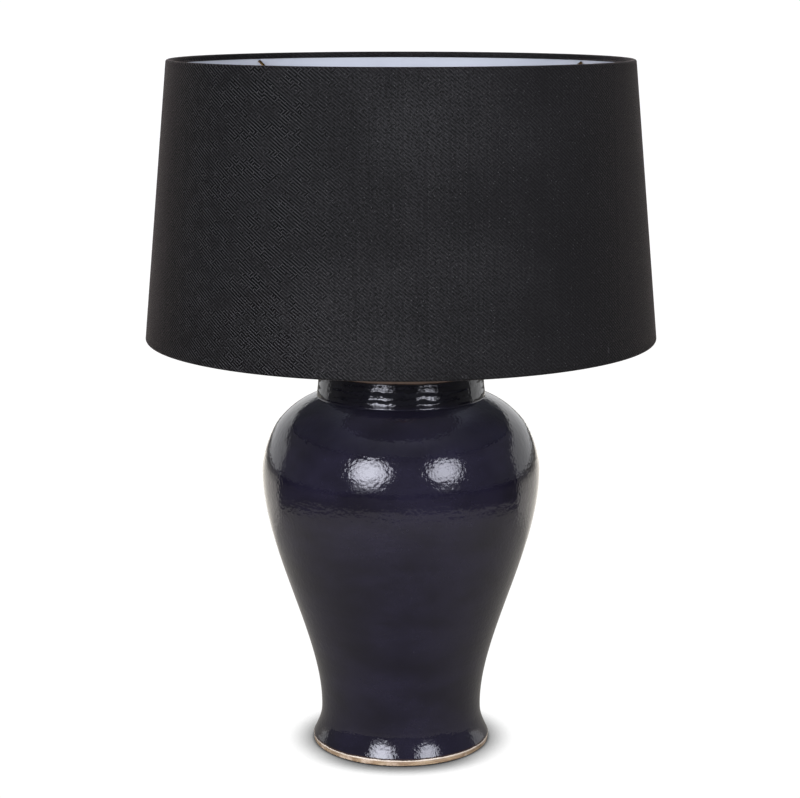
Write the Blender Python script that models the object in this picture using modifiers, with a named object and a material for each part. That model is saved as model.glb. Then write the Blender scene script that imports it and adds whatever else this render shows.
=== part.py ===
"""Table lamp with shade.

A hollow stoneware jar stands on its own foot ring. A threaded rod clamps it between
a nut under its floor and a brass cap on its neck, and carries a saddle, a harp and a
lamp holder. The tapered drum shade hangs by its spider from the stud on the harp, and
a finial holds it there. Metres, +Z up, origin at the centre of the foot's underside.
"""

import math

import bmesh
import bpy
from mathutils import Vector

# ---- Clearances ----
GAP = 0.0003                  # between pieces that rest or slide on each other
HOLE_GAP = 0.0005             # round a rod or stem in its hole

# ---- Jar: radii, and the height of each station above the one below it ----
FOOT_RADIUS = 0.0884
FOOT_EDGE_RADIUS = 0.0890
FOOT_EDGE_HEIGHT = 0.0055
WAIST_RADIUS = 0.08035
EDGE_TO_WAIST = 0.0312
BELLY_RADIUS = 0.1379
WAIST_TO_BELLY = 0.2436
SHOULDER_RADIUS = 0.1208
BELLY_TO_SHOULDER = 0.0496
SHOULDER_SLOPE = math.radians(40.7)
NECK_RADIUS = 0.0837
SHOULDER_TO_NECK = 0.0253
NECK_ROOT_SLOPE = math.radians(70.0)
NECK_MOUTH_RADIUS = 0.0816
NECK_HEIGHT = 0.0288
LIP_ROUNDING = 0.0015
JAR_WALL = 0.0075
FOOT_RING_WIDTH = 0.0115
FLOOR_THICKNESS = 0.0080
NECK_HOLLOW = 0.0004          # how far the neck's side is drawn in below its mouth
INNER_CORNER_HEIGHT = 0.0020  # above the floor, where the inner wall begins

# ---- Rod, and what clamps the jar ----
ROD_RADIUS = 0.0049
ROD_BORE_RADIUS = 0.0032
ROD_TAIL = 0.0015             # below the nut
ROD_HEAD = 0.0020             # above the lamp holder's hub
FLOOR_WASHER_RADIUS = 0.0190
FLOOR_WASHER_THICKNESS = 0.0020
LOCK_WASHER_RADIUS = 0.0085
LOCK_WASHER_THICKNESS = 0.0012
NUT_FLATS = 0.0160
NUT_THICKNESS = 0.0050
BAIZE_THICKNESS = 0.0015
BAIZE_INSET = 0.0015          # above the table
TAIL_ROOM = 0.0024            # between the baize and the rod
GASKET_THICKNESS = 0.0012
GASKET_OVERLAP = 0.0010       # in from the neck's inner side
CAP_METAL = 0.0012
CAP_RIM_INSET = 0.0010
CAP_RISE = 0.0080
CAP_LAND_RADIUS = 0.0140      # flat top that the nut bears on
CAP_RIM_WIDTH = 0.0080        # flat rim that bears on the gasket
SPACER_RADIUS = 0.0080
SPACER_LENGTH = 0.0100
SPACER_WAIST = 0.0010         # depth of the waist

# ---- Cord inlet in the back of the foot ----
GROMMET_BORE_RADIUS = 0.0033
GROMMET_WALL = 0.0011
GROMMET_FLANGE_RADIUS = 0.0060
GROMMET_FLANGE_THICKNESS = 0.0014
GROMMET_SEAT_DEPTH = 0.0062   # from the foot's widest point to the flat seat
GROMMET_TAIL = 0.0010         # past the inside of the foot ring
GROMMET_CHAMFER = 0.0006
INLET_CUT_LENGTH = 0.0400

# ---- Harp and saddle ----
SADDLE_THICKNESS = 0.0020
SADDLE_WIDTH = 0.0150
SADDLE_SPAN = 0.0640          # between the two pegs
PEG_RADIUS = 0.0022
PEG_HEIGHT = 0.0160
PEG_SHOULDER_RADIUS = 0.0036
PEG_SHOULDER_HEIGHT = 0.0050
FERRULE_WALL = 0.0014
FERRULE_LENGTH = 0.0120
FERRULE_TRAVEL = 0.0140
HARP_WIRE_RADIUS = 0.0017
HARP_WIDTH = 0.1160           # between the centres of the wire
HARP_HEIGHT = 0.2292          # saddle to the centre of the wire's top
HARP_BEND_START = 0.0080      # below the top of a lifted ferrule
STUD_RADIUS = 0.0030
STUD_SEAT_RADIUS = 0.0090
STUD_SEAT_THICKNESS = 0.0025
STUD_CHAMFER = 0.0006
FINIAL_HEIGHT = 0.0230
FINIAL_BASE_RADIUS = 0.0075
FINIAL_BALL_RADIUS = 0.0080
FINIAL_BALL_END = math.radians(-50.0)
FINIAL_WAIST_HEIGHT = 0.0055
FINIAL_BASE_HEIGHT = 0.0030
FINIAL_THREAD_DEPTH = 0.0110

# ---- Lamp holder ----
HOLDER_METAL = 0.0008
HOLDER_HUB_RADIUS = 0.0078
HOLDER_HUB_HEIGHT = 0.0060
HOLDER_CAP_HEIGHT = 0.0190
HOLDER_SIDE_HEIGHT = 0.0055   # above the hub, where the cap's straight side starts
HOLDER_SLOPE_HEIGHT = 0.0015  # above the hub, at 0.8 of the cap's radius
HOLDER_INNER_SIDE_HEIGHT = 0.0062
HOLDER_INNER_SLOPE_HEIGHT = 0.0026
SHELL_METAL = 0.0006
SHELL_LENGTH = 0.0430
SHELL_LAP = 0.0060            # down inside the cap
SHELL_BEAD = 0.0008
SHELL_BEAD_LENGTH = 0.0020
SHELL_BEAD_END = 0.0035       # below the shell's top
LINER_CARD = 0.0010
CARD_TOP_INSET = 0.0010       # below the shell's top
CARD_LIFT = 0.0010            # above the shell's lower end
CORE_LIFT = 0.0020            # above the shell's lower end
CORE_HEIGHT = 0.0160
THREAD_SHELL_METAL = 0.0005
THREAD_SHELL_HEIGHT = 0.0200
THREAD_SHELL_ROOM = 0.0018    # between the screw shell and the card liner
THREAD_SHELL_LIP = 0.0090     # radius of the hole in its floor
TONGUE_RISE = 0.0022          # from the moulded core to the bulb's contact
TONGUE_TOP_RADIUS = 0.0030
TONGUE_SLOPE_RADIUS = 0.0055
TONGUE_RADIUS = 0.0070
TONGUE_METAL = 0.0006
TONGUE_CROWN = 0.0002
SWITCH_STEM_RADIUS = 0.0020
SWITCH_KNOB_RADIUS = 0.0075
SWITCH_KNOB_LENGTH = 0.0150
SWITCH_REACH = 0.0040         # from the lamp holder's side to the knob
KNOB_CROWN = 0.0002
KNOB_TIP_LENGTH = 0.0025
KNOB_NECK_LENGTH = 0.0040
STEM_CUT_LENGTH = 0.0200
TERMINAL_HEAD_RADIUS = 0.0032
TERMINAL_HEAD_THICKNESS = 0.0018
TERMINAL_SHANK_RADIUS = 0.0015
TERMINAL_SHANK_LENGTH = 0.0050
TERMINAL_POCKET_DEPTH = 0.0040
POCKET_CUT_LENGTH = 0.0200
SET_SCREW_RADIUS = 0.0015
SET_SCREW_LENGTH = 0.0050
SET_SCREW_CUT_LENGTH = 0.0100
SCREW_STEPS = 12

# ---- Bulb ----
BULB_RADIUS = 0.0300
BULB_LENGTH = 0.1080
BULB_CAP_RADIUS = 0.0130
BULB_CAP_HEIGHT = 0.0220
BULB_CAP_METAL = 0.0004
BULB_GLASS = 0.0008
BULB_INSULATOR_HEIGHT = 0.0035
BULB_CONTACT_RADIUS = 0.0045
BULB_CONTACT_HEIGHT = 0.0020
FILAMENT_RADIUS = 0.0005
BULB_CONTACT_CROWN = 0.0004
BULB_CONTACT_SLOPE = 0.0015
BULB_CAP_SHOULDER = 0.0020
BULB_CAP_INNER_SHOULDER = 0.0024
BULB_NECK_RISE = 0.0040       # above the screw cap
BULB_NECK_BLEND = 0.0100
GLASS_STEM_HEIGHT = 0.0180
GLASS_STEM_RADIUS = 0.0030
GLASS_STEM_NECK_RADIUS = 0.0026
GLASS_STEM_CROWN = 0.0010
GLASS_FLARE_ROOM = 0.0015
GLASS_FLARE_THICKNESS = 0.0012
LEAD_SPREAD = 0.0042
LEAD_DEPTH = 0.0080           # inside the stem
LEAD_BEND = 0.0030            # above the stem, where the leads turn out
COIL_SPREAD = 0.0130
COIL_LOW, COIL_MIDDLE, COIL_HIGH = 0.0160, 0.0170, 0.0200

# ---- Shade ----
SHADE_BOTTOM_RADIUS = 0.2500
SHADE_TOP_RADIUS = 0.2254
SHADE_HEIGHT = 0.2700
COVER_THICKNESS = 0.0008
LINER_THICKNESS = 0.0005
RING_WIRE_RADIUS = 0.0014
HEM_TURN = math.radians(225.0)
SPIDER_WIRE_RADIUS = 0.0015
SPIDER_DROP = 0.0371          # rim to the middle of the hub
SPIDER_SLOPE = math.radians(31.0)
SPIDER_CROSS_ANGLE = math.radians(97.5)
SPIDER_TURN = math.radians(7.25)
SPIDER_BEND_RADIUS = 0.0120
HUB_RADIUS = 0.0140
HUB_THICKNESS = 0.0024

# ---- Facets round a full turn ----
JAR_STEPS = 40
SHADE_STEPS = 48
HOLDER_STEPS = 20
SMALL_STEPS = 16

# ---- Heights that follow from the sizes above ----
WAIST_Z = FOOT_EDGE_HEIGHT + EDGE_TO_WAIST
BELLY_Z = WAIST_Z + WAIST_TO_BELLY
SHOULDER_Z = BELLY_Z + BELLY_TO_SHOULDER
NECK_Z = SHOULDER_Z + SHOULDER_TO_NECK
JAR_TOP_Z = NECK_Z + NECK_HEIGHT
BAIZE_TOP_Z = BAIZE_INSET + BAIZE_THICKNESS
ROD_BOTTOM_Z = BAIZE_TOP_Z + TAIL_ROOM
FLOOR_NUT_Z = ROD_BOTTOM_Z + ROD_TAIL
LOCK_WASHER_Z = FLOOR_NUT_Z + NUT_THICKNESS + GAP
FLOOR_WASHER_Z = LOCK_WASHER_Z + LOCK_WASHER_THICKNESS + GAP
RECESS_Z = FLOOR_WASHER_Z + FLOOR_WASHER_THICKNESS + GAP
FLOOR_TOP_Z = RECESS_Z + FLOOR_THICKNESS
GROMMET_Z = 0.5 * (BAIZE_TOP_Z + RECESS_Z)
GASKET_Z = JAR_TOP_Z + GAP
NECK_CAP_Z = GASKET_Z + GASKET_THICKNESS + GAP
CAP_NUT_Z = NECK_CAP_Z + CAP_RISE + GAP
SPACER_Z = CAP_NUT_Z + NUT_THICKNESS + GAP
SADDLE_Z = SPACER_Z + SPACER_LENGTH + GAP
SADDLE_TOP_Z = SADDLE_Z + SADDLE_THICKNESS
HOLDER_Z = SADDLE_TOP_Z + GAP
HARP_TOP_Z = SADDLE_TOP_Z + HARP_HEIGHT
STUD_Z = HARP_TOP_Z + HARP_WIRE_RADIUS + GAP
HUB_Z = STUD_Z + STUD_SEAT_THICKNESS + GAP
FINIAL_Z = HUB_Z + HUB_THICKNESS + GAP


# ---- Scene, collections and finishes ----

for old_object in list(bpy.data.objects):
    bpy.data.objects.remove(old_object, do_unlink=True)

lamp = bpy.data.collections.new("table_lamp")
cutters = bpy.data.collections.new("cutters")
bpy.context.scene.collection.children.link(lamp)
bpy.context.scene.collection.children.link(cutters)


def finish(name, colour, roughness, metallic=0.0):
    material = bpy.data.materials.new(name)
    material.use_nodes = True
    shader = material.node_tree.nodes["Principled BSDF"]
    shader.inputs["Base Color"].default_value = (*colour, 1.0)
    shader.inputs["Roughness"].default_value = roughness
    shader.inputs["Metallic"].default_value = metallic
    material.diffuse_color = (*colour, 1.0)
    return material


def place(piece, material, location=(0.0, 0.0, 0.0), rotation=(0.0, 0.0, 0.0), parent=None):
    """Put a piece in the lamp's collection with its finish and its place."""
    for home in list(piece.users_collection):
        home.objects.unlink(piece)
    lamp.objects.link(piece)
    piece.location = location
    piece.rotation_euler = rotation
    piece.parent = parent
    if not piece.data.materials:
        piece.data.materials.append(material)
    return piece


def axis_empty(name, location):
    """An empty on a joint's axis, which the pieces that move there are parented to."""
    empty = bpy.data.objects.new(name, None)
    empty.empty_display_size = 0.02
    empty.location = location
    lamp.objects.link(empty)
    return empty


# ---- Shapes that several pieces share ----

def bezier(start, start_handle, end_handle, end, count):
    """Points along a cubic curve, without its first point."""
    points = []
    for step in range(1, count + 1):
        t = step / count
        weights = ((1 - t) ** 3, 3 * t * (1 - t) ** 2, 3 * t * t * (1 - t), t ** 3)
        corners = (start, start_handle, end_handle, end)
        points.append(tuple(sum(w * corner[axis] for w, corner in zip(weights, corners))
                            for axis in (0, 1)))
    return points


def arc(centre, radius, start_angle, end_angle, count):
    """Points round part of a circle, with both ends."""
    angles = (start_angle + (end_angle - start_angle) * step / count for step in range(count + 1))
    return [(centre[0] + radius * math.cos(angle), centre[1] + radius * math.sin(angle))
            for angle in angles]


def inset(outline, distance):
    """An outline that runs upwards, moved towards the axis side by a distance."""
    moved = []
    for index, point in enumerate(outline):
        before = outline[max(index - 1, 0)]
        after = outline[min(index + 1, len(outline) - 1)]
        along = Vector((after[0] - before[0], after[1] - before[1])).normalized()
        moved.append((point[0] - along.y * distance, point[1] + along.x * distance))
    return moved


def turned(name, outline, steps, material, location=(0.0, 0.0, 0.0), rotation=(0.0, 0.0, 0.0),
           parent=None, closed=True):
    """A shape turned round Z from (radius, height) points that run down its outer side."""
    vertices = [(radius, 0.0, height) for radius, height in outline]
    edges = [(index, index + 1) for index in range(len(outline) - 1)]
    if closed:
        edges.append((len(outline) - 1, 0))
    mesh = bpy.data.meshes.new(name)
    mesh.from_pydata(vertices, edges, [])
    piece = place(bpy.data.objects.new(name, mesh), material, location, rotation, parent)
    screw = piece.modifiers.new("turn", "SCREW")
    screw.steps = steps
    screw.render_steps = steps
    screw.use_merge_vertices = True
    screw.merge_threshold = 0.00002
    screw.use_smooth_shade = True
    return piece


def turned_solid(name, outline, steps, material, **where):
    """A turned shape whose outline starts and ends on the axis."""
    return turned(name, outline, steps, material, closed=False, **where)


def ring_outline(outer_radius, inner_radius, bottom, top):
    return [(inner_radius, top), (outer_radius, top), (outer_radius, bottom), (inner_radius, bottom)]


def thick_sheet(piece, thickness):
    """Give an open turned surface its thickness, half on each side."""
    solidify = piece.modifiers.new("thickness", "SOLIDIFY")
    solidify.thickness = thickness
    solidify.offset = 0.0
    solidify.use_even_offset = True


def wire(name, points, radius, material, **where):
    """A round wire through the given points, with closed ends."""
    curve = bpy.data.curves.new(name, "CURVE")
    curve.dimensions = "3D"
    curve.bevel_depth = radius
    curve.bevel_resolution = 2
    curve.use_fill_caps = True
    spline = curve.splines.new("POLY")
    spline.points.add(len(points) - 1)
    for control, point in zip(spline.points, points):
        control.co = (*point, 1.0)
    return place(bpy.data.objects.new(name, curve), material, **where)


def as_mesh(curve_object, material):
    """Replace a curve object by the closed mesh of its shape."""
    shape = curve_object.evaluated_get(bpy.context.evaluated_depsgraph_get())
    mesh = bpy.data.meshes.new_from_object(shape)
    welded = bmesh.new()
    welded.from_mesh(mesh)
    bmesh.ops.remove_doubles(welded, verts=welded.verts, dist=0.00001)
    welded.to_mesh(mesh)
    welded.free()
    name = curve_object.name
    matrix = curve_object.matrix_world.copy()
    bpy.data.objects.remove(curve_object, do_unlink=True)
    piece = place(bpy.data.objects.new(name, mesh), material)
    piece.matrix_world = matrix
    return piece


def as_cutter(tool):
    """Move a helper shape out of the lamp, to the cutters."""
    for home in list(tool.users_collection):
        home.objects.unlink(tool)
    cutters.objects.link(tool)
    tool.hide_render = True
    tool.display_type = "WIRE"
    return tool


def round_cutter(name, radius, length, location, rotation=(0.0, 0.0, 0.0)):
    bpy.ops.mesh.primitive_cylinder_add(vertices=SMALL_STEPS, radius=radius, depth=length,
                                        location=location, rotation=rotation)
    tool = bpy.context.object
    tool.name = name
    return as_cutter(tool)


def combine(piece, tool, operation):
    boolean = piece.modifiers.new(tool.name, "BOOLEAN")
    boolean.operation = operation
    boolean.object = tool
    boolean.solver = "EXACT"


def hex_nut(name, location, material):
    """A hexagonal nut on the rod, its underside at the given place."""
    middle = Vector(location) + Vector((0.0, 0.0, 0.5 * NUT_THICKNESS))
    bpy.ops.mesh.primitive_cylinder_add(vertices=6, radius=NUT_FLATS / math.sqrt(3.0),
                                        depth=NUT_THICKNESS)
    nut = bpy.context.object
    nut.name = name
    place(nut, material, middle)
    bore = round_cutter(name + "_bore", ROD_RADIUS + HOLE_GAP, 2.0 * NUT_THICKNESS, middle)
    combine(nut, bore, "DIFFERENCE")
    return nut


GLAZE = finish("navy_glaze", (0.012, 0.011, 0.022), 0.08)
RUBBER = finish("black_rubber", (0.02, 0.02, 0.02), 0.7)
BAIZE = finish("black_baize", (0.03, 0.03, 0.03), 0.95)
STEEL = finish("zinc_steel", (0.60, 0.60, 0.58), 0.35, 1.0)
BRASS = finish("aged_brass", (0.42, 0.27, 0.10), 0.35, 1.0)
BRIGHT_BRASS = finish("bright_brass", (0.72, 0.52, 0.22), 0.25, 1.0)
FABRIC = finish("charcoal_fabric", (0.022, 0.021, 0.023), 0.9)
LINER = finish("white_liner", (0.80, 0.82, 0.86), 0.6)
PHENOLIC = finish("black_phenolic", (0.015, 0.014, 0.013), 0.4)
CARD = finish("insulating_card", (0.35, 0.26, 0.17), 0.8)
BULB_COAT = finish("opal_glass", (0.90, 0.90, 0.88), 0.3)
CLEAR_GLASS = finish("clear_glass", (0.80, 0.85, 0.85), 0.05)
ALUMINIUM = finish("bulb_aluminium", (0.70, 0.70, 0.71), 0.3, 1.0)
TUNGSTEN = finish("tungsten", (0.25, 0.25, 0.26), 0.5, 1.0)


# ---- Jar ----

def jar_outline():
    """The jar's outer side from its foot edge up to its neck, (radius, height)."""
    foot_edge = (FOOT_EDGE_RADIUS, FOOT_EDGE_HEIGHT)
    waist = (WAIST_RADIUS, WAIST_Z)
    belly = (BELLY_RADIUS, BELLY_Z)
    shoulder = Vector((SHOULDER_RADIUS, SHOULDER_Z))
    neck = Vector((NECK_RADIUS, NECK_Z))
    foot_handle = (FOOT_EDGE_RADIUS - 0.82 * (FOOT_EDGE_RADIUS - WAIST_RADIUS),
                   FOOT_EDGE_HEIGHT + 0.47 * EDGE_TO_WAIST)
    points = [foot_edge]
    points += bezier(foot_edge, foot_handle, (WAIST_RADIUS, WAIST_Z - 0.36 * EDGE_TO_WAIST),
                     waist, 3)
    points += bezier(waist, (WAIST_RADIUS, WAIST_Z + 0.304 * WAIST_TO_BELLY),
                     (BELLY_RADIUS, BELLY_Z - 0.327 * WAIST_TO_BELLY), belly, 7)
    lean = Vector((-math.sin(SHOULDER_SLOPE), math.cos(SHOULDER_SLOPE)))
    below = (shoulder - Vector(belly)).length
    points += bezier(belly, (BELLY_RADIUS, BELLY_Z + 0.306 * BELLY_TO_SHOULDER),
                     shoulder - 0.25 * below * lean, shoulder, 3)
    above = (neck - shoulder).length
    arrive = Vector((-math.sin(NECK_ROOT_SLOPE), math.cos(NECK_ROOT_SLOPE)))
    points += bezier(shoulder, shoulder + 0.40 * above * lean, neck - 0.33 * above * arrive,
                     neck, 4)
    return points


def jar_wall_outline():
    """The whole closed section of the jar's wall, foot ring and floor."""
    side = jar_outline()
    lip_centre = (NECK_MOUTH_RADIUS - LIP_ROUNDING, JAR_TOP_Z - LIP_ROUNDING)
    lip = arc(lip_centre, LIP_ROUNDING, 0.0, 0.5 * math.pi, 2)
    neck_middle = (0.5 * (NECK_RADIUS + NECK_MOUTH_RADIUS) - NECK_HOLLOW,
                   NECK_Z + 0.3 * NECK_HEIGHT)
    outer = side + [neck_middle] + lip
    inner_side = [point for point in inset(side + [neck_middle], JAR_WALL)
                  if point[1] > FLOOR_TOP_Z + INNER_CORNER_HEIGHT]
    inner = [(inner_side[0][0], FLOOR_TOP_Z)] + inner_side[::2]
    inner.append((NECK_MOUTH_RADIUS - JAR_WALL, JAR_TOP_Z))
    ring_inner = FOOT_RADIUS - FOOT_RING_WIDTH
    hole = ROD_RADIUS + HOLE_GAP
    foot = [(FOOT_RADIUS, 0.0), (ring_inner, 0.0), (ring_inner, RECESS_Z),
            (hole, RECESS_Z), (hole, FLOOR_TOP_Z)]
    return outer[::-1] + foot + inner


def make_jar():
    jar = turned("jar_body", jar_wall_outline(), JAR_STEPS, GLAZE)
    seat_y = FOOT_EDGE_RADIUS - GROMMET_SEAT_DEPTH
    along_y = (0.5 * math.pi, 0.0, 0.0)
    inlet = round_cutter("inlet_hole", GROMMET_BORE_RADIUS + GROMMET_WALL + GAP,
                         INLET_CUT_LENGTH, (0.0, seat_y, GROMMET_Z), along_y)
    seat = round_cutter("inlet_seat", GROMMET_FLANGE_RADIUS + HOLE_GAP, INLET_CUT_LENGTH,
                        (0.0, seat_y + 0.5 * INLET_CUT_LENGTH, GROMMET_Z), along_y)
    combine(jar, inlet, "DIFFERENCE")
    combine(jar, seat, "DIFFERENCE")


def make_cord_grommet():
    """A bush through the foot ring, its flange on the seat, its bore ready for a cord."""
    barrel = GROMMET_BORE_RADIUS + GROMMET_WALL
    inner_end = FOOT_RADIUS - FOOT_RING_WIDTH - GROMMET_TAIL
    length = FOOT_EDGE_RADIUS - GROMMET_SEAT_DEPTH + GAP - inner_end
    top = length + GROMMET_FLANGE_THICKNESS
    outline = [(GROMMET_BORE_RADIUS, top), (GROMMET_FLANGE_RADIUS - GROMMET_CHAMFER, top),
               (GROMMET_FLANGE_RADIUS, top - GROMMET_CHAMFER), (GROMMET_FLANGE_RADIUS, length),
               (barrel, length), (barrel, 0.0), (GROMMET_BORE_RADIUS, 0.0)]
    turned("cord_grommet", outline, SMALL_STEPS, RUBBER,
           location=(0.0, inner_end, GROMMET_Z), rotation=(-0.5 * math.pi, 0.0, 0.0))


def make_base_baize():
    radius = FOOT_RADIUS - FOOT_RING_WIDTH - GAP
    outline = [(0.0, BAIZE_THICKNESS), (radius, BAIZE_THICKNESS), (radius, 0.0), (0.0, 0.0)]
    turned_solid("base_baize", outline, JAR_STEPS, BAIZE, location=(0.0, 0.0, BAIZE_INSET))


# ---- Rod, washers, nuts, neck cap and spacer ----

def make_washer(name, radius, bore, thickness, height, steps, material):
    turned(name, ring_outline(radius, bore, 0.0, thickness), steps, material,
           location=(0.0, 0.0, height))


def make_clamping():
    rod_hole = ROD_RADIUS + HOLE_GAP
    make_washer("floor_washer", FLOOR_WASHER_RADIUS, rod_hole, FLOOR_WASHER_THICKNESS,
                FLOOR_WASHER_Z, SMALL_STEPS, STEEL)
    make_washer("floor_lock_washer", LOCK_WASHER_RADIUS, rod_hole, LOCK_WASHER_THICKNESS,
                LOCK_WASHER_Z, SMALL_STEPS, STEEL)
    hex_nut("floor_nut", (0.0, 0.0, FLOOR_NUT_Z), STEEL)
    rod_top = HOLDER_Z + HOLDER_HUB_HEIGHT + ROD_HEAD
    make_washer("centre_rod", ROD_RADIUS, ROD_BORE_RADIUS, rod_top - ROD_BOTTOM_Z,
                ROD_BOTTOM_Z, SMALL_STEPS, STEEL)
    make_washer("neck_gasket", NECK_MOUTH_RADIUS - LIP_ROUNDING,
                NECK_MOUTH_RADIUS - JAR_WALL + GASKET_OVERLAP, GASKET_THICKNESS, GASKET_Z,
                JAR_STEPS, RUBBER)
    hex_nut("cap_nut", (0.0, 0.0, CAP_NUT_Z), BRASS)
    spacer = [(rod_hole, SPACER_LENGTH), (SPACER_RADIUS, SPACER_LENGTH),
              (SPACER_RADIUS - SPACER_WAIST, 0.7 * SPACER_LENGTH),
              (SPACER_RADIUS - SPACER_WAIST, 0.3 * SPACER_LENGTH), (SPACER_RADIUS, 0.0),
              (rod_hole, 0.0)]
    turned("neck_spacer", spacer, SMALL_STEPS, BRASS, location=(0.0, 0.0, SPACER_Z))


def make_neck_cap():
    """A spun brass dish, flat where the nut bears and turned down at its rim."""
    hole = ROD_RADIUS + HOLE_GAP
    rim = NECK_MOUTH_RADIUS - CAP_RIM_INSET
    rim_inner = rim - CAP_RIM_WIDTH
    land = CAP_LAND_RADIUS
    dome_top = CAP_RISE
    upper = [(hole, dome_top), (land, dome_top)]
    upper += bezier((land, dome_top), (0.55 * rim, dome_top), (0.85 * rim, 0.35 * dome_top),
                    (rim, CAP_METAL), 4)
    lower = [(rim, 0.0), (rim_inner, 0.0)]
    lower += bezier((rim_inner, 0.0), (0.75 * rim, 0.35 * dome_top),
                    (0.50 * rim, dome_top - CAP_METAL), (land, dome_top - CAP_METAL), 3)
    lower.append((hole, dome_top - CAP_METAL))
    turned("neck_cap", upper + lower, JAR_STEPS, BRASS, location=(0.0, 0.0, NECK_CAP_Z))


# ---- Saddle, harp, ferrules and stud ----

def peg_outline():
    root = -0.5 * SADDLE_THICKNESS
    return [(0.0, PEG_HEIGHT), (PEG_RADIUS, PEG_HEIGHT), (PEG_RADIUS, PEG_SHOULDER_HEIGHT),
            (PEG_SHOULDER_RADIUS, PEG_SHOULDER_HEIGHT), (PEG_SHOULDER_RADIUS, root), (0.0, root)]


def make_saddle():
    """A flat bar with a hole for the rod and a shouldered peg near each end."""
    outline = bpy.data.curves.new("harp_saddle", "CURVE")
    outline.dimensions = "2D"
    outline.fill_mode = "BOTH"
    outline.extrude = 0.5 * SADDLE_THICKNESS
    half = 0.5 * SADDLE_SPAN
    end = 0.5 * SADDLE_WIDTH
    bar = arc((half, 0.0), end, -0.5 * math.pi, 0.5 * math.pi, 6)
    bar += arc((-half, 0.0), end, 0.5 * math.pi, 1.5 * math.pi, 6)
    hole = arc((0.0, 0.0), ROD_RADIUS + HOLE_GAP, 0.0, 2.0 * math.pi, SMALL_STEPS)[:-1]
    for loop in (bar, hole):
        spline = outline.splines.new("POLY")
        spline.points.add(len(loop) - 1)
        for control, point in zip(spline.points, loop):
            control.co = (point[0], point[1], 0.0, 1.0)
        spline.use_cyclic_u = True
    middle = SADDLE_Z + 0.5 * SADDLE_THICKNESS
    flat = place(bpy.data.objects.new("harp_saddle", outline), BRASS, (0.0, 0.0, middle))
    bpy.context.view_layer.update()
    saddle = as_mesh(flat, BRASS)
    for side, x in (("left", -half), ("right", half)):
        peg = turned_solid("saddle_peg_" + side, peg_outline(), SMALL_STEPS, BRASS,
                           location=(x, 0.0, SADDLE_TOP_Z))
        combine(saddle, as_cutter(peg), "UNION")


def harp_side():
    """The right half of the harp's centre line in X and Z, from its foot to its crown."""
    half_span = 0.5 * SADDLE_SPAN
    half_width = 0.5 * HARP_WIDTH
    foot = (half_span, SADDLE_TOP_Z + PEG_HEIGHT + GAP)
    straight = (half_span, foot[1] + FERRULE_LENGTH + FERRULE_TRAVEL - HARP_BEND_START)
    rise = HARP_TOP_Z - straight[1]
    widest = (half_width, straight[1] + 0.42 * rise)
    crown = (STUD_SEAT_RADIUS, HARP_TOP_Z)
    points = [foot, straight]
    points += bezier(straight, (half_span, straight[1] + 0.18 * rise),
                     (half_width, widest[1] - 0.20 * rise), widest, 6)
    points += bezier(widest, (half_width, widest[1] + 0.38 * rise),
                     (crown[0] + 0.45 * half_width, HARP_TOP_Z), crown, 8)
    return points


def make_harp():
    right = harp_side()
    left = [(-x, z) for x, z in right]
    path = [(x, 0.0, z) for x, z in right + left[::-1]]
    wire("harp_wire", path, HARP_WIRE_RADIUS, BRASS)


def make_ferrules():
    bore = PEG_RADIUS + GAP
    outline = ring_outline(bore + FERRULE_WALL, bore, 0.0, FERRULE_LENGTH)
    rest = SADDLE_TOP_Z + PEG_SHOULDER_HEIGHT + GAP
    for side, x in (("left", -0.5 * SADDLE_SPAN), ("right", 0.5 * SADDLE_SPAN)):
        axis = axis_empty("ferrule_axis_" + side, (x, 0.0, rest))
        turned("harp_ferrule_" + side, outline, SMALL_STEPS, BRASS, parent=axis)


def make_stud():
    tip = STUD_SEAT_THICKNESS + GAP + HUB_THICKNESS + GAP + FINIAL_THREAD_DEPTH
    outline = [(0.0, tip), (STUD_RADIUS - STUD_CHAMFER, tip), (STUD_RADIUS, tip - STUD_CHAMFER),
               (STUD_RADIUS, STUD_SEAT_THICKNESS), (STUD_SEAT_RADIUS, STUD_SEAT_THICKNESS),
               (STUD_SEAT_RADIUS, 0.0), (0.0, 0.0)]
    turned_solid("harp_stud", outline, SMALL_STEPS, BRASS, location=(0.0, 0.0, STUD_Z))


def make_finial():
    """A ball on a waisted base, bored from below for the stud."""
    bore = STUD_RADIUS + GAP
    ball_z = FINIAL_HEIGHT - FINIAL_BALL_RADIUS
    outline = [(max(r, 0.0), z) for r, z in
               arc((0.0, ball_z), FINIAL_BALL_RADIUS, 0.5 * math.pi, FINIAL_BALL_END, 6)]
    outline[0] = (0.0, FINIAL_HEIGHT)
    outline += [(0.62 * FINIAL_BASE_RADIUS, FINIAL_WAIST_HEIGHT),
                (FINIAL_BASE_RADIUS, FINIAL_BASE_HEIGHT),
                (FINIAL_BASE_RADIUS, 0.0), (bore, 0.0), (bore, FINIAL_THREAD_DEPTH + GAP),
                (0.0, FINIAL_THREAD_DEPTH + GAP)]
    axis = axis_empty("finial_axis", (0.0, 0.0, FINIAL_Z))
    turned_solid("finial", outline, SMALL_STEPS, BRASS, parent=axis)


# ---- Lamp holder: heights here are above the holder's underside ----

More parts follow.
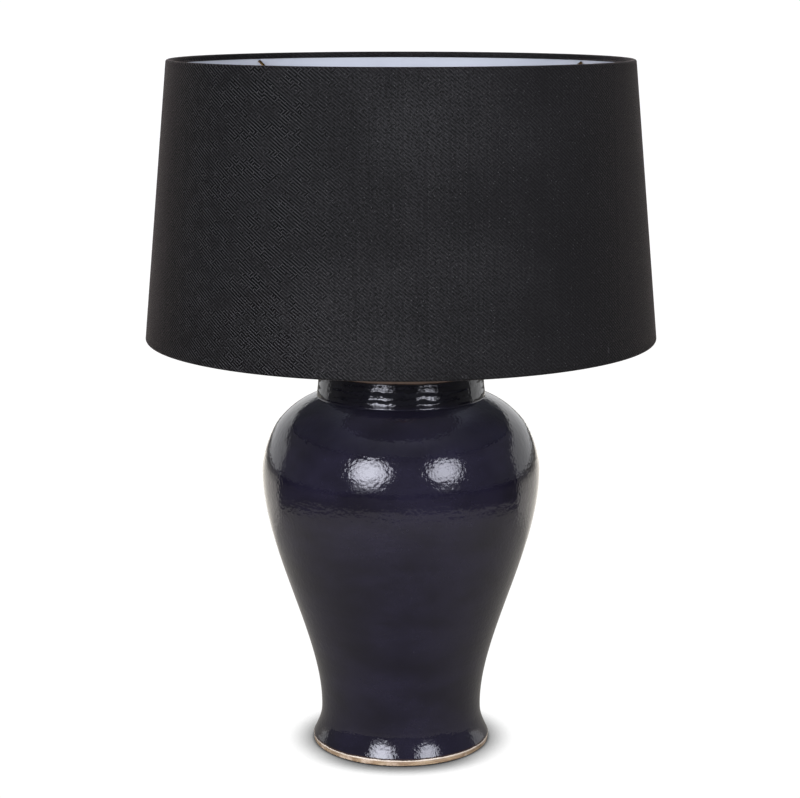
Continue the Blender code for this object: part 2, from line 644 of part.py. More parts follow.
SHELL_BOTTOM = HOLDER_CAP_HEIGHT - SHELL_LAP
SHELL_TOP = SHELL_BOTTOM + SHELL_LENGTH
THREAD_SHELL_BORE = BULB_CAP_RADIUS + GAP
CARD_BORE = THREAD_SHELL_BORE + THREAD_SHELL_METAL + THREAD_SHELL_ROOM
CARD_RADIUS = CARD_BORE + LINER_CARD
SHELL_BORE = CARD_RADIUS + GAP
SHELL_RADIUS = SHELL_BORE + SHELL_METAL
HOLDER_BORE = SHELL_RADIUS + GAP
HOLDER_RADIUS = HOLDER_BORE + HOLDER_METAL
CARD_BOTTOM = SHELL_BOTTOM + CARD_LIFT
CORE_RADIUS = CARD_BORE - GAP
CORE_BOTTOM = SHELL_BOTTOM + CORE_LIFT
CORE_TOP = CORE_BOTTOM + CORE_HEIGHT
SWITCH_Z = HOLDER_Z + CORE_BOTTOM + 0.5 * CORE_HEIGHT
THREAD_SHELL_BOTTOM = CORE_TOP + GAP
BULB_CONTACT_Z = HOLDER_Z + CORE_TOP + TONGUE_RISE


def make_holder_shells():
    rod_hole = ROD_RADIUS + HOLE_GAP
    base = HOLDER_HUB_HEIGHT
    cap = [(HOLDER_BORE, HOLDER_CAP_HEIGHT), (HOLDER_RADIUS, HOLDER_CAP_HEIGHT)]
    cap += [(HOLDER_RADIUS, base + HOLDER_SIDE_HEIGHT),
            (0.8 * HOLDER_RADIUS, base + HOLDER_SLOPE_HEIGHT),
            (HOLDER_HUB_RADIUS, base), (HOLDER_HUB_RADIUS, 0.0), (rod_hole, 0.0),
            (rod_hole, base + HOLDER_METAL),
            (0.76 * HOLDER_RADIUS, base + HOLDER_INNER_SLOPE_HEIGHT),
            (HOLDER_BORE, base + HOLDER_INNER_SIDE_HEIGHT)]
    holder_cap = turned("socket_cap", cap, HOLDER_STEPS, BRASS, location=(0.0, 0.0, HOLDER_Z))
    screw_hole = round_cutter("set_screw_hole", SET_SCREW_RADIUS + GAP, SET_SCREW_CUT_LENGTH,
                              (0.0, HOLDER_HUB_RADIUS, HOLDER_Z + 0.5 * HOLDER_HUB_HEIGHT),
                              (0.5 * math.pi, 0.0, 0.0))
    combine(holder_cap, screw_hole, "DIFFERENCE")

    bead_radius = SHELL_RADIUS + SHELL_BEAD
    shell = [(SHELL_BORE, SHELL_TOP), (bead_radius, SHELL_TOP),
             (bead_radius, SHELL_TOP - SHELL_BEAD_LENGTH),
             (SHELL_RADIUS, SHELL_TOP - SHELL_BEAD_END),
             (SHELL_RADIUS, SHELL_BOTTOM), (SHELL_BORE, SHELL_BOTTOM)]
    card = ring_outline(CARD_RADIUS, CARD_BORE, CARD_BOTTOM, SHELL_TOP - CARD_TOP_INSET)
    stem_hole = round_cutter("switch_stem_hole", SWITCH_STEM_RADIUS + HOLE_GAP, STEM_CUT_LENGTH,
                             (0.0, -HOLDER_RADIUS, SWITCH_Z), (0.5 * math.pi, 0.0, 0.0))
    for name, outline, material in (("socket_shell", shell, BRASS), ("socket_liner", card, CARD)):
        tube = turned(name, outline, HOLDER_STEPS, material, location=(0.0, 0.0, HOLDER_Z))
        combine(tube, stem_hole, "DIFFERENCE")


def make_holder_core():
    """The moulded body: a blind hole for the switch stem and two pocketed terminals."""
    outline = [(0.0, CORE_HEIGHT), (CORE_RADIUS, CORE_HEIGHT), (CORE_RADIUS, 0.0), (0.0, 0.0)]
    core = turned_solid("socket_core", outline, HOLDER_STEPS, PHENOLIC,
                        location=(0.0, 0.0, HOLDER_Z + CORE_BOTTOM))
    stem_hole = round_cutter("core_stem_hole", SWITCH_STEM_RADIUS + HOLE_GAP, CORE_RADIUS,
                             (0.0, -CORE_RADIUS, SWITCH_Z), (0.5 * math.pi, 0.0, 0.0))
    combine(core, stem_hole, "DIFFERENCE")
    across = (0.0, 0.5 * math.pi, 0.0)
    pocket_floor = CORE_RADIUS - TERMINAL_POCKET_DEPTH
    for side, sign in (("left", -1.0), ("right", 1.0)):
        pocket = round_cutter("terminal_pocket_" + side, TERMINAL_HEAD_RADIUS + HOLE_GAP,
                              POCKET_CUT_LENGTH,
                              (sign * (pocket_floor + 0.5 * POCKET_CUT_LENGTH), 0.0, SWITCH_Z),
                              across)
        shank = round_cutter("terminal_hole_" + side, TERMINAL_SHANK_RADIUS + GAP,
                             2.0 * TERMINAL_SHANK_LENGTH + 2.0 * GAP,
                             (sign * pocket_floor, 0.0, SWITCH_Z), across)
        combine(core, pocket, "DIFFERENCE")
        combine(core, shank, "DIFFERENCE")
        screw = [(0.0, TERMINAL_HEAD_THICKNESS), (TERMINAL_HEAD_RADIUS, TERMINAL_HEAD_THICKNESS),
                 (TERMINAL_HEAD_RADIUS, 0.0), (TERMINAL_SHANK_RADIUS, 0.0),
                 (TERMINAL_SHANK_RADIUS, -TERMINAL_SHANK_LENGTH), (0.0, -TERMINAL_SHANK_LENGTH)]
        turned_solid("terminal_screw_" + side, screw, SCREW_STEPS, BRIGHT_BRASS,
                     location=(sign * (pocket_floor + GAP), 0.0, SWITCH_Z),
                     rotation=(0.0, sign * 0.5 * math.pi, 0.0))
    tip = ROD_RADIUS + GAP
    set_screw = [(0.0, SET_SCREW_LENGTH), (SET_SCREW_RADIUS, SET_SCREW_LENGTH),
                 (SET_SCREW_RADIUS, 0.0), (0.0, 0.0)]
    turned_solid("socket_set_screw", set_screw, SCREW_STEPS, STEEL,
                 location=(0.0, tip, HOLDER_Z + 0.5 * HOLDER_HUB_HEIGHT),
                 rotation=(-0.5 * math.pi, 0.0, 0.0))


def make_holder_contacts():
    outer = THREAD_SHELL_BORE + THREAD_SHELL_METAL
    lip = THREAD_SHELL_LIP
    thread = [(THREAD_SHELL_BORE, THREAD_SHELL_HEIGHT), (outer, THREAD_SHELL_HEIGHT), (outer, 0.0),
              (lip, 0.0), (lip, THREAD_SHELL_METAL), (THREAD_SHELL_BORE, THREAD_SHELL_METAL)]
    base = HOLDER_Z + THREAD_SHELL_BOTTOM
    turned("screw_shell", thread, HOLDER_STEPS, BRIGHT_BRASS, location=(0.0, 0.0, base))
    tongue_top = BULB_CONTACT_Z - GAP - base
    tongue = [(0.0, tongue_top), (TONGUE_TOP_RADIUS, tongue_top - TONGUE_CROWN),
              (TONGUE_SLOPE_RADIUS, TONGUE_METAL), (TONGUE_RADIUS, TONGUE_METAL),
              (TONGUE_RADIUS, 0.0), (0.0, 0.0)]
    turned_solid("centre_contact", tongue, SMALL_STEPS, BRIGHT_BRASS, location=(0.0, 0.0, base))


def make_switch():
    """A stem out of the holder's front, with a ridged knob on it, both on the turning axis."""
    inner_end = -0.5 * CORE_RADIUS - GAP
    knob_start = HOLDER_RADIUS + SWITCH_REACH
    axis = axis_empty("switch_axis", (0.0, 0.0, SWITCH_Z))
    outward = (0.5 * math.pi, 0.0, 0.0)
    stem_tip = knob_start + 0.6 * SWITCH_KNOB_LENGTH
    stem = [(0.0, stem_tip), (SWITCH_STEM_RADIUS, stem_tip), (SWITCH_STEM_RADIUS, -inner_end),
            (0.0, -inner_end)]
    turned_solid("switch_stem", stem, SMALL_STEPS, BRIGHT_BRASS, rotation=outward, parent=axis)
    bore = SWITCH_STEM_RADIUS + GAP
    tip = knob_start + SWITCH_KNOB_LENGTH
    knob = [(0.0, tip), (0.70 * SWITCH_KNOB_RADIUS, tip - KNOB_CROWN),
            (SWITCH_KNOB_RADIUS, tip - KNOB_TIP_LENGTH),
            (SWITCH_KNOB_RADIUS, knob_start + KNOB_NECK_LENGTH),
            (0.60 * SWITCH_KNOB_RADIUS, knob_start), (bore, knob_start),
            (bore, stem_tip + GAP), (0.0, stem_tip + GAP)]
    turned_solid("switch_knob", knob, SMALL_STEPS, PHENOLIC, rotation=outward, parent=axis)


# ---- Bulb: heights here are above the tip of its contact ----

def make_bulb():
    axis = axis_empty("bulb_axis", (0.0, 0.0, BULB_CONTACT_Z))
    contact = [(0.0, BULB_CONTACT_HEIGHT), (BULB_CONTACT_RADIUS, BULB_CONTACT_HEIGHT),
               (BULB_CONTACT_RADIUS - BULB_CONTACT_SLOPE, BULB_CONTACT_CROWN), (0.0, 0.0)]
    turned_solid("bulb_contact", contact, SMALL_STEPS, BRIGHT_BRASS, parent=axis)

    insulator_z = BULB_CONTACT_HEIGHT + GAP
    insulator_top = insulator_z + BULB_INSULATOR_HEIGHT
    insulator = [(0.0, insulator_top), (0.85 * BULB_CAP_RADIUS, insulator_top),
                 (BULB_CONTACT_RADIUS + BULB_CONTACT_SLOPE, insulator_z), (0.0, insulator_z)]
    turned_solid("bulb_insulator", insulator, HOLDER_STEPS, PHENOLIC, parent=axis)

    cap_z = insulator_top + GAP
    cap_top = cap_z + BULB_CAP_HEIGHT
    cap_bore = BULB_CAP_RADIUS - BULB_CAP_METAL
    cap = [(cap_bore, cap_top), (BULB_CAP_RADIUS, cap_top),
           (BULB_CAP_RADIUS, cap_z + BULB_CAP_SHOULDER),
           (0.85 * BULB_CAP_RADIUS, cap_z), (0.60 * BULB_CAP_RADIUS, cap_z),
           (0.60 * BULB_CAP_RADIUS, cap_z + BULB_CAP_METAL),
           (0.82 * BULB_CAP_RADIUS, cap_z + BULB_CAP_METAL),
           (cap_bore, cap_z + BULB_CAP_INNER_SHOULDER)]
    turned("bulb_screw_cap", cap, HOLDER_STEPS, ALUMINIUM, parent=axis)

    neck = cap_bore - GAP
    neck_z = cap_z + 0.55 * BULB_CAP_HEIGHT
    neck_top = cap_top + BULB_NECK_RISE
    ball_z = BULB_LENGTH - BULB_RADIUS
    side_angle = math.radians(-20.0)
    ball = arc((0.0, ball_z), BULB_RADIUS, 0.5 * math.pi, side_angle, 6)
    ball[0] = (0.0, BULB_LENGTH)
    joint = ball[-1]
    flank = bezier(joint, (joint[0] - 0.36 * BULB_NECK_BLEND, joint[1] - BULB_NECK_BLEND),
                   (neck, neck_top + BULB_NECK_BLEND), (neck, neck_top), 3)
    outer = ball + flank + [(neck, neck_z)]
    inner = [(r - BULB_GLASS, z) for r, z in outer[1:]]
    inner = [(r, z - BULB_GLASS * max(0.0, (z - ball_z) / BULB_RADIUS)) for r, z in inner]
    glass = outer + inner[::-1] + [(0.0, BULB_LENGTH - BULB_GLASS)]
    turned_solid("bulb_glass", glass, HOLDER_STEPS, BULB_COAT, parent=axis)

    flare = neck - BULB_GLASS - GLASS_FLARE_ROOM
    flare_z = neck_z + BULB_GLASS
    stem_top = neck_top + GLASS_STEM_HEIGHT
    stem = [(0.0, stem_top), (GLASS_STEM_RADIUS, stem_top - GLASS_STEM_CROWN),
            (GLASS_STEM_NECK_RADIUS, neck_top), (flare, flare_z + GLASS_FLARE_THICKNESS),
            (flare, flare_z), (0.0, flare_z)]
    turned_solid("bulb_stem", stem, HOLDER_STEPS, CLEAR_GLASS, parent=axis)

    right = [(LEAD_SPREAD, -LEAD_DEPTH), (LEAD_SPREAD, LEAD_BEND), (COIL_SPREAD, COIL_LOW),
             (0.5 * COIL_SPREAD, COIL_HIGH)]
    path = [(-x, z) for x, z in right] + [(0.0, COIL_MIDDLE)] + right[::-1]
    wire("bulb_filament", [(x, 0.0, stem_top + z) for x, z in path], FILAMENT_RADIUS, TUNGSTEN,
         parent=axis)


# ---- Shade: heights here are above the middle of the spider's hub ----

WALL_LEAN = math.atan2(SHADE_BOTTOM_RADIUS - SHADE_TOP_RADIUS, SHADE_HEIGHT)
ROLL_RADIUS = RING_WIRE_RADIUS + GAP + 0.5 * COVER_THICKNESS
RIM_Z = SPIDER_DROP
LEG_OFFSET = COVER_THICKNESS + LINER_THICKNESS + 2.0 * GAP


def ring_centre(radius, rim, downwards):
    """The centre of a ring's wire inside the rolled edge at a rim."""
    reach = ROLL_RADIUS + 0.5 * COVER_THICKNESS
    return (radius - reach, rim - downwards * reach)


TOP_RING = ring_centre(SHADE_TOP_RADIUS, RIM_Z, 1.0)
BOTTOM_RING = ring_centre(SHADE_BOTTOM_RADIUS, RIM_Z - SHADE_HEIGHT, -1.0)


def wall_point(centre):
    """Where the cover's middle surface meets the roll round a ring."""
    return (centre[0] + ROLL_RADIUS * math.cos(WALL_LEAN),
            centre[1] + ROLL_RADIUS * math.sin(WALL_LEAN))


def rolled_edge(centre, turn):
    """The cloth from the wall round a ring's wire, down to the liner: turn is signed."""
    points = arc(centre, ROLL_RADIUS, WALL_LEAN, WALL_LEAN + turn, 5)
    away = ROLL_RADIUS * (1.0 - math.cos(turn))
    slide = (away - LEG_OFFSET) / abs(math.sin(turn))
    heading = WALL_LEAN + turn + math.copysign(0.5 * math.pi, turn)
    last = points[-1]
    points.append((last[0] + slide * math.cos(heading), last[1] + slide * math.sin(heading)))
    return points


def make_cover(axis):
    """One cloth from the hem inside the top ring, down the wall, to the hem below."""
    path = rolled_edge(TOP_RING, HEM_TURN)[::-1] + rolled_edge(BOTTOM_RING, -HEM_TURN)
    cover = turned("shade_cover", path, SHADE_STEPS, FABRIC, parent=axis, closed=False)
    thick_sheet(cover, COVER_THICKNESS)


def make_liner(axis):
    inwards = 0.5 * COVER_THICKNESS + GAP + 0.5 * LINER_THICKNESS
    clear = RING_WIRE_RADIUS + 2.0 * GAP
    top = wall_point(TOP_RING)
    bottom = wall_point(BOTTOM_RING)
    slope = (bottom[0] - top[0]) / (top[1] - bottom[1])
    path = []
    for height in (TOP_RING[1] - clear, BOTTOM_RING[1] + clear):
        path.append((top[0] + slope * (top[1] - height) - inwards, height))
    liner = turned("shade_liner", path, SHADE_STEPS, LINER, parent=axis, closed=False)
    thick_sheet(liner, LINER_THICKNESS)


def make_rings(axis):
    for name, centre in (("top_ring", TOP_RING), ("bottom_ring", BOTTOM_RING)):
        bpy.ops.mesh.primitive_torus_add(major_segments=SHADE_STEPS, minor_segments=6,
                                         major_radius=centre[0], minor_radius=RING_WIRE_RADIUS)
        ring = bpy.context.object
        ring.name = name
        ring.data.shade_smooth()
        place(ring, STEEL, (0.0, 0.0, centre[1]), parent=axis)


def spider_arm_path():
    """From the hub, level, then up the slope to just under the hem, in X and Z."""
    hem_depth = 2.0 * ROLL_RADIUS + COVER_THICKNESS + RING_WIRE_RADIUS
    tip_z = RIM_Z - hem_depth - SPIDER_WIRE_RADIUS - GAP
    tip_x = SHADE_TOP_RADIUS - LEG_OFFSET - SPIDER_WIRE_RADIUS
    bend_x = tip_x - tip_z / math.tan(SPIDER_SLOPE)
    tangent = SPIDER_BEND_RADIUS * math.tan(0.5 * SPIDER_SLOPE)
    bend = arc((bend_x - tangent, SPIDER_BEND_RADIUS), SPIDER_BEND_RADIUS, -0.5 * math.pi,
               SPIDER_SLOPE - 0.5 * math.pi, 3)
    return [(HUB_RADIUS + GAP, 0.0)] + bend + [(tip_x, tip_z)]


def make_spider(axis):
    hub = ring_outline(HUB_RADIUS, STUD_RADIUS + GAP, -0.5 * HUB_THICKNESS, 0.5 * HUB_THICKNESS)
    turned("spider_hub", hub, SMALL_STEPS, BRASS, parent=axis)
    path = [(x, 0.0, z) for x, z in spider_arm_path()]
    back_left = SPIDER_TURN - 0.5 * SPIDER_CROSS_ANGLE
    back_right = SPIDER_TURN + 0.5 * SPIDER_CROSS_ANGLE
    bearings = (back_left, back_right, back_left + math.pi, back_right + math.pi)
    for number, bearing in enumerate(bearings, start=1):
        wire("spider_arm_%d" % number, path, SPIDER_WIRE_RADIUS, BRASS,
             rotation=(0.0, 0.0, 0.5 * math.pi - bearing), parent=axis)


def make_shade():
    axis = axis_empty("shade_axis", (0.0, 0.0, HUB_Z + 0.5 * HUB_THICKNESS))
    make_spider(axis)
    make_rings(axis)
    make_liner(axis)
    make_cover(axis)


make_jar()
make_cord_grommet()
make_base_baize()
make_clamping()
make_neck_cap()
make_saddle()
make_harp()
make_ferrules()
make_stud()
make_holder_shells()
make_holder_core()
make_holder_contacts()
make_switch()
make_bulb()
make_shade()
make_finial()
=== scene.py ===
import math

import bmesh
import bpy
from mathutils import Matrix, Vector


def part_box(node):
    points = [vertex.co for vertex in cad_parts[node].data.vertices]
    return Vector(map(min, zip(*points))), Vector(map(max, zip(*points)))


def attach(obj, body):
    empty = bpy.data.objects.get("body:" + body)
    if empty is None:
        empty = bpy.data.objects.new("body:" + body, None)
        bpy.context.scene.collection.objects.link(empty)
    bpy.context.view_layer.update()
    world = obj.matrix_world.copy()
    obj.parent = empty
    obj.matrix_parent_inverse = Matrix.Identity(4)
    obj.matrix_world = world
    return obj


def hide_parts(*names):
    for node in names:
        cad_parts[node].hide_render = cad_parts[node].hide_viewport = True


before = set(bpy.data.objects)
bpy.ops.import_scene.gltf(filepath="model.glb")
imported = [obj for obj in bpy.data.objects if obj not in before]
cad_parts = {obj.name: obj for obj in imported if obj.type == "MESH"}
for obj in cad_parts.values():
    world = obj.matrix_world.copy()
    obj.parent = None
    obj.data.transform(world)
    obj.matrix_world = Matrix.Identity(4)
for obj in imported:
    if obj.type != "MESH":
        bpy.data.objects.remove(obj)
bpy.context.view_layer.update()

scene = bpy.context.scene
scene.view_settings.view_transform = "Standard"


# ---- Camera ----
# A long lens looks a little down on the lamp from two metres away, held level.

LENS_MM = 94.54
SENSOR_MM = 36.0
EYE = (-0.001, -2.0447, 0.7503)
LOOK_DOWN = math.radians(11.066)

camera_data = bpy.data.cameras.new("camera")
camera_data.lens = LENS_MM
camera_data.sensor_width = SENSOR_MM
camera = bpy.data.objects.new("camera", camera_data)
camera.location = EYE
camera.rotation_euler = (0.5 * math.pi - LOOK_DOWN, 0.0, 0.0)
scene.collection.objects.link(camera)
scene.camera = camera


# ---- Table, studio and lights ----
# The lamp stands on a white table. Two round softboxes, brighter towards their middles, light
# it from the front, each with a dim panel under it. A low white wall stands behind, and three
# soft fills that don't show in the glaze lift the cloth. The rest of the room is dim.

TABLE_RADIUS = 6.0
# Near the lamp the table's colour is darker: a painted shadow of the lamp shade, seen in the glaze's
# reflections and in bounce light.
TABLE_SHADED_NEAR, TABLE_EDGE, TABLE_PAST, TABLE_BEHIND, TABLE_FAR = 0.27, 0.39, 0.07, 0.80, 0.01
TABLE_TINT = (1.0, 0.95, 0.86)
NEAR_REACH = (0.20, 0.60)
EDGE_REACH = (0.71, 0.85)
PAST_REACH = (1.5, 2.3)
BEHIND_REACH = (0.35, 0.85)
BEHIND_SPREAD = (0.33, 0.44)
CONTACT_REACH = 0.030
CONTACT_SAMPLES = 12
CONTACT_DEPTH = (3.0, 6.0)
CONTACT_FRONT = (-0.050, -0.100)
TABLE_GLOW = 1.05
WALL_TURN = math.radians(4.0)
WALL_HALF_WIDTH = 2.25
WALL_HEIGHT = 0.50
WALL_WHITE = 0.90
SIDES_WHITE = 0.05
ROOM_LOW, ROOM_HIGH, ROOM_TOP = 0.12, 0.022, 0.07
ROOM_MATT = (0.25, 0.13)
ROOM_SEEN = 1.06
ROOM_TINT = (0.985, 0.99, 1.0)
LIGHT_AIM = Vector((0.0, -0.12, 0.31))
LIGHT_DISTANCE = 2.2
DAYLIGHT = (0.97, 0.985, 1.12)
NEUTRAL = (1.0, 1.0, 1.0)
SOFTBOXES = (("left_softbox", -28.3, 22.0, 35.0, 28.0, (6.4, 5.5, 3.0)),
             ("right_softbox", 39.0, 21.5, 30.0, 25.5, (5.0, 4.2, 1.7)))
LEVEL_SHARES = (1.0, 0.74, 0.44)
LEVEL_GAP = 0.05
LOW_PANELS = (("left_low_panel", -28.5, 24.0, 1.7), ("right_low_panel", 38.5, 19.0, 0.4))
LOW_PANEL_RISE = 4.5
LOW_PANEL_HEIGHT = 9.0
LOW_PANEL_AIM = Vector((0.0, -0.08, 0.36))
FILLS = (("front_fill", -10.0, 16.0, 50.0, 40.0, 3.4), ("back_fill", 180.0, 25.0, 60.0, 45.0, 5.5),
         ("overhead", 0.0, 86.0, 50.0, 50.0, 0.6))


def feed(tree, value, socket):
    """Link an output to a socket, or set the socket to a plain value."""
    if isinstance(value, bpy.types.NodeSocket):
        tree.links.new(value, socket)
    else:
        socket.default_value = value


def calc(tree, operation, *values):
    """The result of a Math node on numbers or outputs."""
    made = tree.nodes.new("ShaderNodeMath")
    made.operation = operation
    for value, socket in zip(values, made.inputs):
        feed(tree, value, socket)
    return made.outputs[0]


def ramp(tree, value, start, end, low=0.0, high=1.0):
    """A smooth step of a value between two limits, scaled from low to high."""
    made = tree.nodes.new("ShaderNodeMapRange")
    made.interpolation_type = "SMOOTHSTEP"
    for given, name in ((value, "Value"), (start, "From Min"), (end, "From Max"),
                        (low, "To Min"), (high, "To Max")):
        feed(tree, given, made.inputs[name])
    return made.outputs[0]


def blend_colours(tree, share, first, second):
    """A Mix node between two colours, given as outputs or as (r, g, b)."""
    made = tree.nodes.new("ShaderNodeMix")
    made.data_type = "RGBA"
    feed(tree, share, made.inputs[0])
    for colour, socket in ((first, made.inputs[6]), (second, made.inputs[7])):
        feed(tree, (*colour, 1.0) if isinstance(colour, tuple) else colour, socket)
    return made.outputs[2]


def plus(tree, first, second):
    return calc(tree, "ADD", first, second)


def times(tree, first, second):
    return calc(tree, "MULTIPLY", first, second)


def minus(tree, first, second):
    return calc(tree, "SUBTRACT", first, second)


def mix(tree, share, first, second):
    """A number that goes from the first to the second as a share goes from 0 to 1."""
    return plus(tree, times(tree, minus(tree, 1.0, share), first),
                times(tree, share, second))


def from_axis(tree, x, y):
    """The distance of a place from the Z axis."""
    return calc(tree, "SQRT", plus(tree, times(tree, x, x), times(tree, y, y)))


def surface(tree, kind="Object"):
    """A place on the surface, in the object's own metres or another kind of coordinate."""
    return tree.nodes.new("ShaderNodeTexCoord").outputs[kind]


def axes_of(tree, vector):
    """The three parts of a vector."""
    split = tree.nodes.new("ShaderNodeSeparateXYZ")
    feed(tree, vector, split.inputs[0])
    return tuple(split.outputs)


def toward_wall(tree, x, y):
    """How far a direction goes along the wall, and how far towards it."""
    side, ahead = math.sin(WALL_TURN), math.cos(WALL_TURN)
    across = minus(tree, times(tree, x, ahead), times(tree, y, side))
    return across, plus(tree, times(tree, y, ahead), times(tree, x, side))


def make_table():
    """A white table that shows a soft shadow where something stands on it."""
    outline = bmesh.new()
    bmesh.ops.create_circle(outline, cap_ends=True, segments=160, radius=TABLE_RADIUS)
    mesh = bpy.data.meshes.new("table_top")
    outline.to_mesh(mesh)
    outline.free()
    table = bpy.data.objects.new("table_top", mesh)
    scene.collection.objects.link(table)
    paint = bpy.data.materials.new("table_white")
    paint.use_nodes = True
    tree = paint.node_tree
    tree.nodes.clear()
    x, y, _ = axes_of(tree, surface(tree))
    away = from_axis(tree, x, y)
    # Painted shadow: the table is darker round the lamp, under its shade.
    inner = ramp(tree, away, *NEAR_REACH, TABLE_SHADED_NEAR, TABLE_EDGE)
    faded = ramp(tree, away, *PAST_REACH, TABLE_PAST, TABLE_FAR)
    front = mix(tree, ramp(tree, away, *EDGE_REACH), inner, faded)
    ahead = toward_wall(tree, x, y)[1]
    spread = ramp(tree, calc(tree, "DIVIDE", ahead, away), *BEHIND_SPREAD)
    behind = times(tree, spread, ramp(tree, away, *BEHIND_REACH))
    white = calc(tree, "MAXIMUM", front, times(tree, behind, TABLE_BEHIND))
    bounce = tree.nodes.new("ShaderNodeBsdfDiffuse")
    feed(tree, blend_colours(tree, white, (0.0, 0.0, 0.0), TABLE_TINT), bounce.inputs["Color"])
    near = tree.nodes.new("ShaderNodeAmbientOcclusion")
    near.inputs["Distance"].default_value = CONTACT_REACH
    near.samples = CONTACT_SAMPLES
    deep = ramp(tree, y, *CONTACT_FRONT, *CONTACT_DEPTH)
    shade = calc(tree, "POWER", near.outputs["AO"], deep)
    glow = tree.nodes.new("ShaderNodeEmission")
    feed(tree, times(tree, shade, TABLE_GLOW), glow.inputs["Strength"])
    either = tree.nodes.new("ShaderNodeMixShader")
    feed(tree, tree.nodes.new("ShaderNodeLightPath").outputs["Is Camera Ray"], either.inputs[0])
    feed(tree, bounce.outputs[0], either.inputs[1])
    feed(tree, glow.outputs[0], either.inputs[2])
    out = tree.nodes.new("ShaderNodeOutputMaterial")
    feed(tree, either.outputs[0], out.inputs["Surface"])
    mesh.materials.append(paint)


def make_room():
    """Dark to reflections but for the wall behind, soft to matt surfaces, white to the eye."""
    room = bpy.data.worlds.new("studio")
    scene.world = room
    room.use_nodes = True
    tree = room.node_tree
    tree.nodes.clear()
    x, y, z = axes_of(tree, surface(tree, "Generated"))
    across, ahead = toward_wall(tree, x, y)
    distance = calc(tree, "MAXIMUM", ahead, 0.001)
    sideways = calc(tree, "ABSOLUTE", calc(tree, "DIVIDE", across, distance))
    upwards = calc(tree, "DIVIDE", z, distance)
    wall = times(tree, ramp(tree, sideways, WALL_HALF_WIDTH + 0.10, WALL_HALF_WIDTH - 0.10),
                 ramp(tree, upwards, WALL_HEIGHT + 0.04, WALL_HEIGHT - 0.04))
    sides = ramp(tree, ahead, -0.15, 0.10, 0.0, SIDES_WHITE)
    dim = plus(tree, ramp(tree, z, 0.76, 0.50, ROOM_HIGH, ROOM_LOW),
               ramp(tree, z, 0.80, 0.85, 0.0, ROOM_TOP))
    path = tree.nodes.new("ShaderNodeLightPath").outputs
    reflected = plus(tree, times(tree, wall, WALL_WHITE), plus(tree, sides, dim))
    matt = ramp(tree, z, -0.4, 0.5, *ROOM_MATT)
    strength = mix(tree, path["Is Glossy Ray"], matt, reflected)
    seen = calc(tree, "MAXIMUM", strength, times(tree, path["Is Camera Ray"], ROOM_SEEN))
    light = tree.nodes.new("ShaderNodeBackground")
    light.inputs["Color"].default_value = (*ROOM_TINT, 1.0)
    feed(tree, seen, light.inputs["Strength"])
    out = tree.nodes.new("ShaderNodeOutputWorld")
    feed(tree, light.outputs[0], out.inputs["Surface"])


def softbox(name, turn, rise, wide, high, brightness, aim=LIGHT_AIM, colour=DAYLIGHT,
            distance=LIGHT_DISTANCE):
    """A round soft light that faces the lamp, turned from the front to the right: in degrees."""
    turn, rise = math.radians(turn), math.radians(rise)
    data = bpy.data.lights.new(name, "AREA")
    data.shape = "ELLIPSE"
    data.size = 2.0 * distance * math.tan(0.5 * math.radians(wide))
    data.size_y = 2.0 * distance * math.tan(0.5 * math.radians(high))
    data.energy = brightness * math.pi * 0.25 * math.pi * data.size * data.size_y
    data.color = colour
    light = bpy.data.objects.new(name, data)
    out = Vector((math.sin(turn) * math.cos(rise), -math.cos(turn) * math.cos(rise), math.sin(rise)))
    light.location = aim + distance * out
    light.rotation_euler = out.to_track_quat("Z", "Y").to_euler()
    light.visible_camera = False
    scene.collection.objects.link(light)
    return light


make_table()
make_room()
for name, turn, rise, wide, high, levels in SOFTBOXES:
    for ring, (share, level) in enumerate(zip(LEVEL_SHARES, levels)):
        softbox("%s_%d" % (name, ring), turn, rise, share * wide, share * high, level,
                distance=LIGHT_DISTANCE - LEVEL_GAP * ring)
for name, turn, wide, brightness in LOW_PANELS:
    panel = softbox(name, turn, LOW_PANEL_RISE, wide, LOW_PANEL_HEIGHT, brightness, LOW_PANEL_AIM)
    panel.visible_diffuse = False
for name, turn, rise, wide, high, brightness in FILLS:
    fill = softbox(name, turn, rise, wide, high, brightness, colour=NEUTRAL)
    fill.visible_glossy = False


# ---- Jar ----
# A stoneware jar thrown on the wheel, foot ring and floor in one piece with its wall. It is
# dipped in a near-black navy glaze that stops short of the foot and of the lip, which stay
# bare clay.

FOOT_RADIUS = 0.0884
FOOT_EDGE = (0.0890, 0.0055)
FOOT_ROUNDING = 0.0010
WAIST = (0.08035, 0.0367)
BELLY = (0.1379, 0.2803)
SHOULDER = Vector((0.1208, 0.3299))
SHOULDER_SLOPE = math.radians(40.7)
NECK_ROOT = Vector((0.0837, 0.3552))
NECK_ROOT_SLOPE = math.radians(70.0)
NECK_MOUTH = 0.0816
NECK_TUCK = 0.0004
ROOT_RISE = 0.0012
JAR_TOP = 0.3840
FOOT_PULL = (0.82, 0.47)
WAIST_PULL = (0.36, 0.304)
BELLY_PULL = (0.327, 0.306)
SHOULDER_PULL = (0.25, 0.40)
ROOT_PULL = 0.33
LIP_ROUNDING = 0.0015
JAR_WALL = 0.0075
FOOT_RING_WIDTH = 0.0115
RECESS_Z = 0.0160
FLOOR_TOP = 0.0240
ROD_HOLE = 0.0054
GLAZE_START = 0.0060
GLAZE_END = 0.3809
GLAZE_WAVER = 0.0009
GLAZE_THICK_LOW, GLAZE_THICK_HIGH = 0.0016, 0.0012
GLAZE_STEP = 0.8
GLAZE_GLOSS = (0.080, 0.120)
GLAZE_RELIEF = 0.0007
PEEL, RIPPLE, WHEEL, NECK_RIPPLE = 0.28, 0.22, 0.45, 0.30
NECK_LEAN = math.radians(8.0)
NECK_RING_PITCH = 0.00737
NECK_RING_DEPTH = 0.10
NECK_RING_WARP = 0.0050
JAR_STEPS = 256
CLAY_ROUGH = 0.85
CLAY_RIM_START = (0.0040, 0.0056)
CLAY_LIP_START = (0.30, 0.38)
CLAY_RIM = (0.85, 0.76, 0.64)
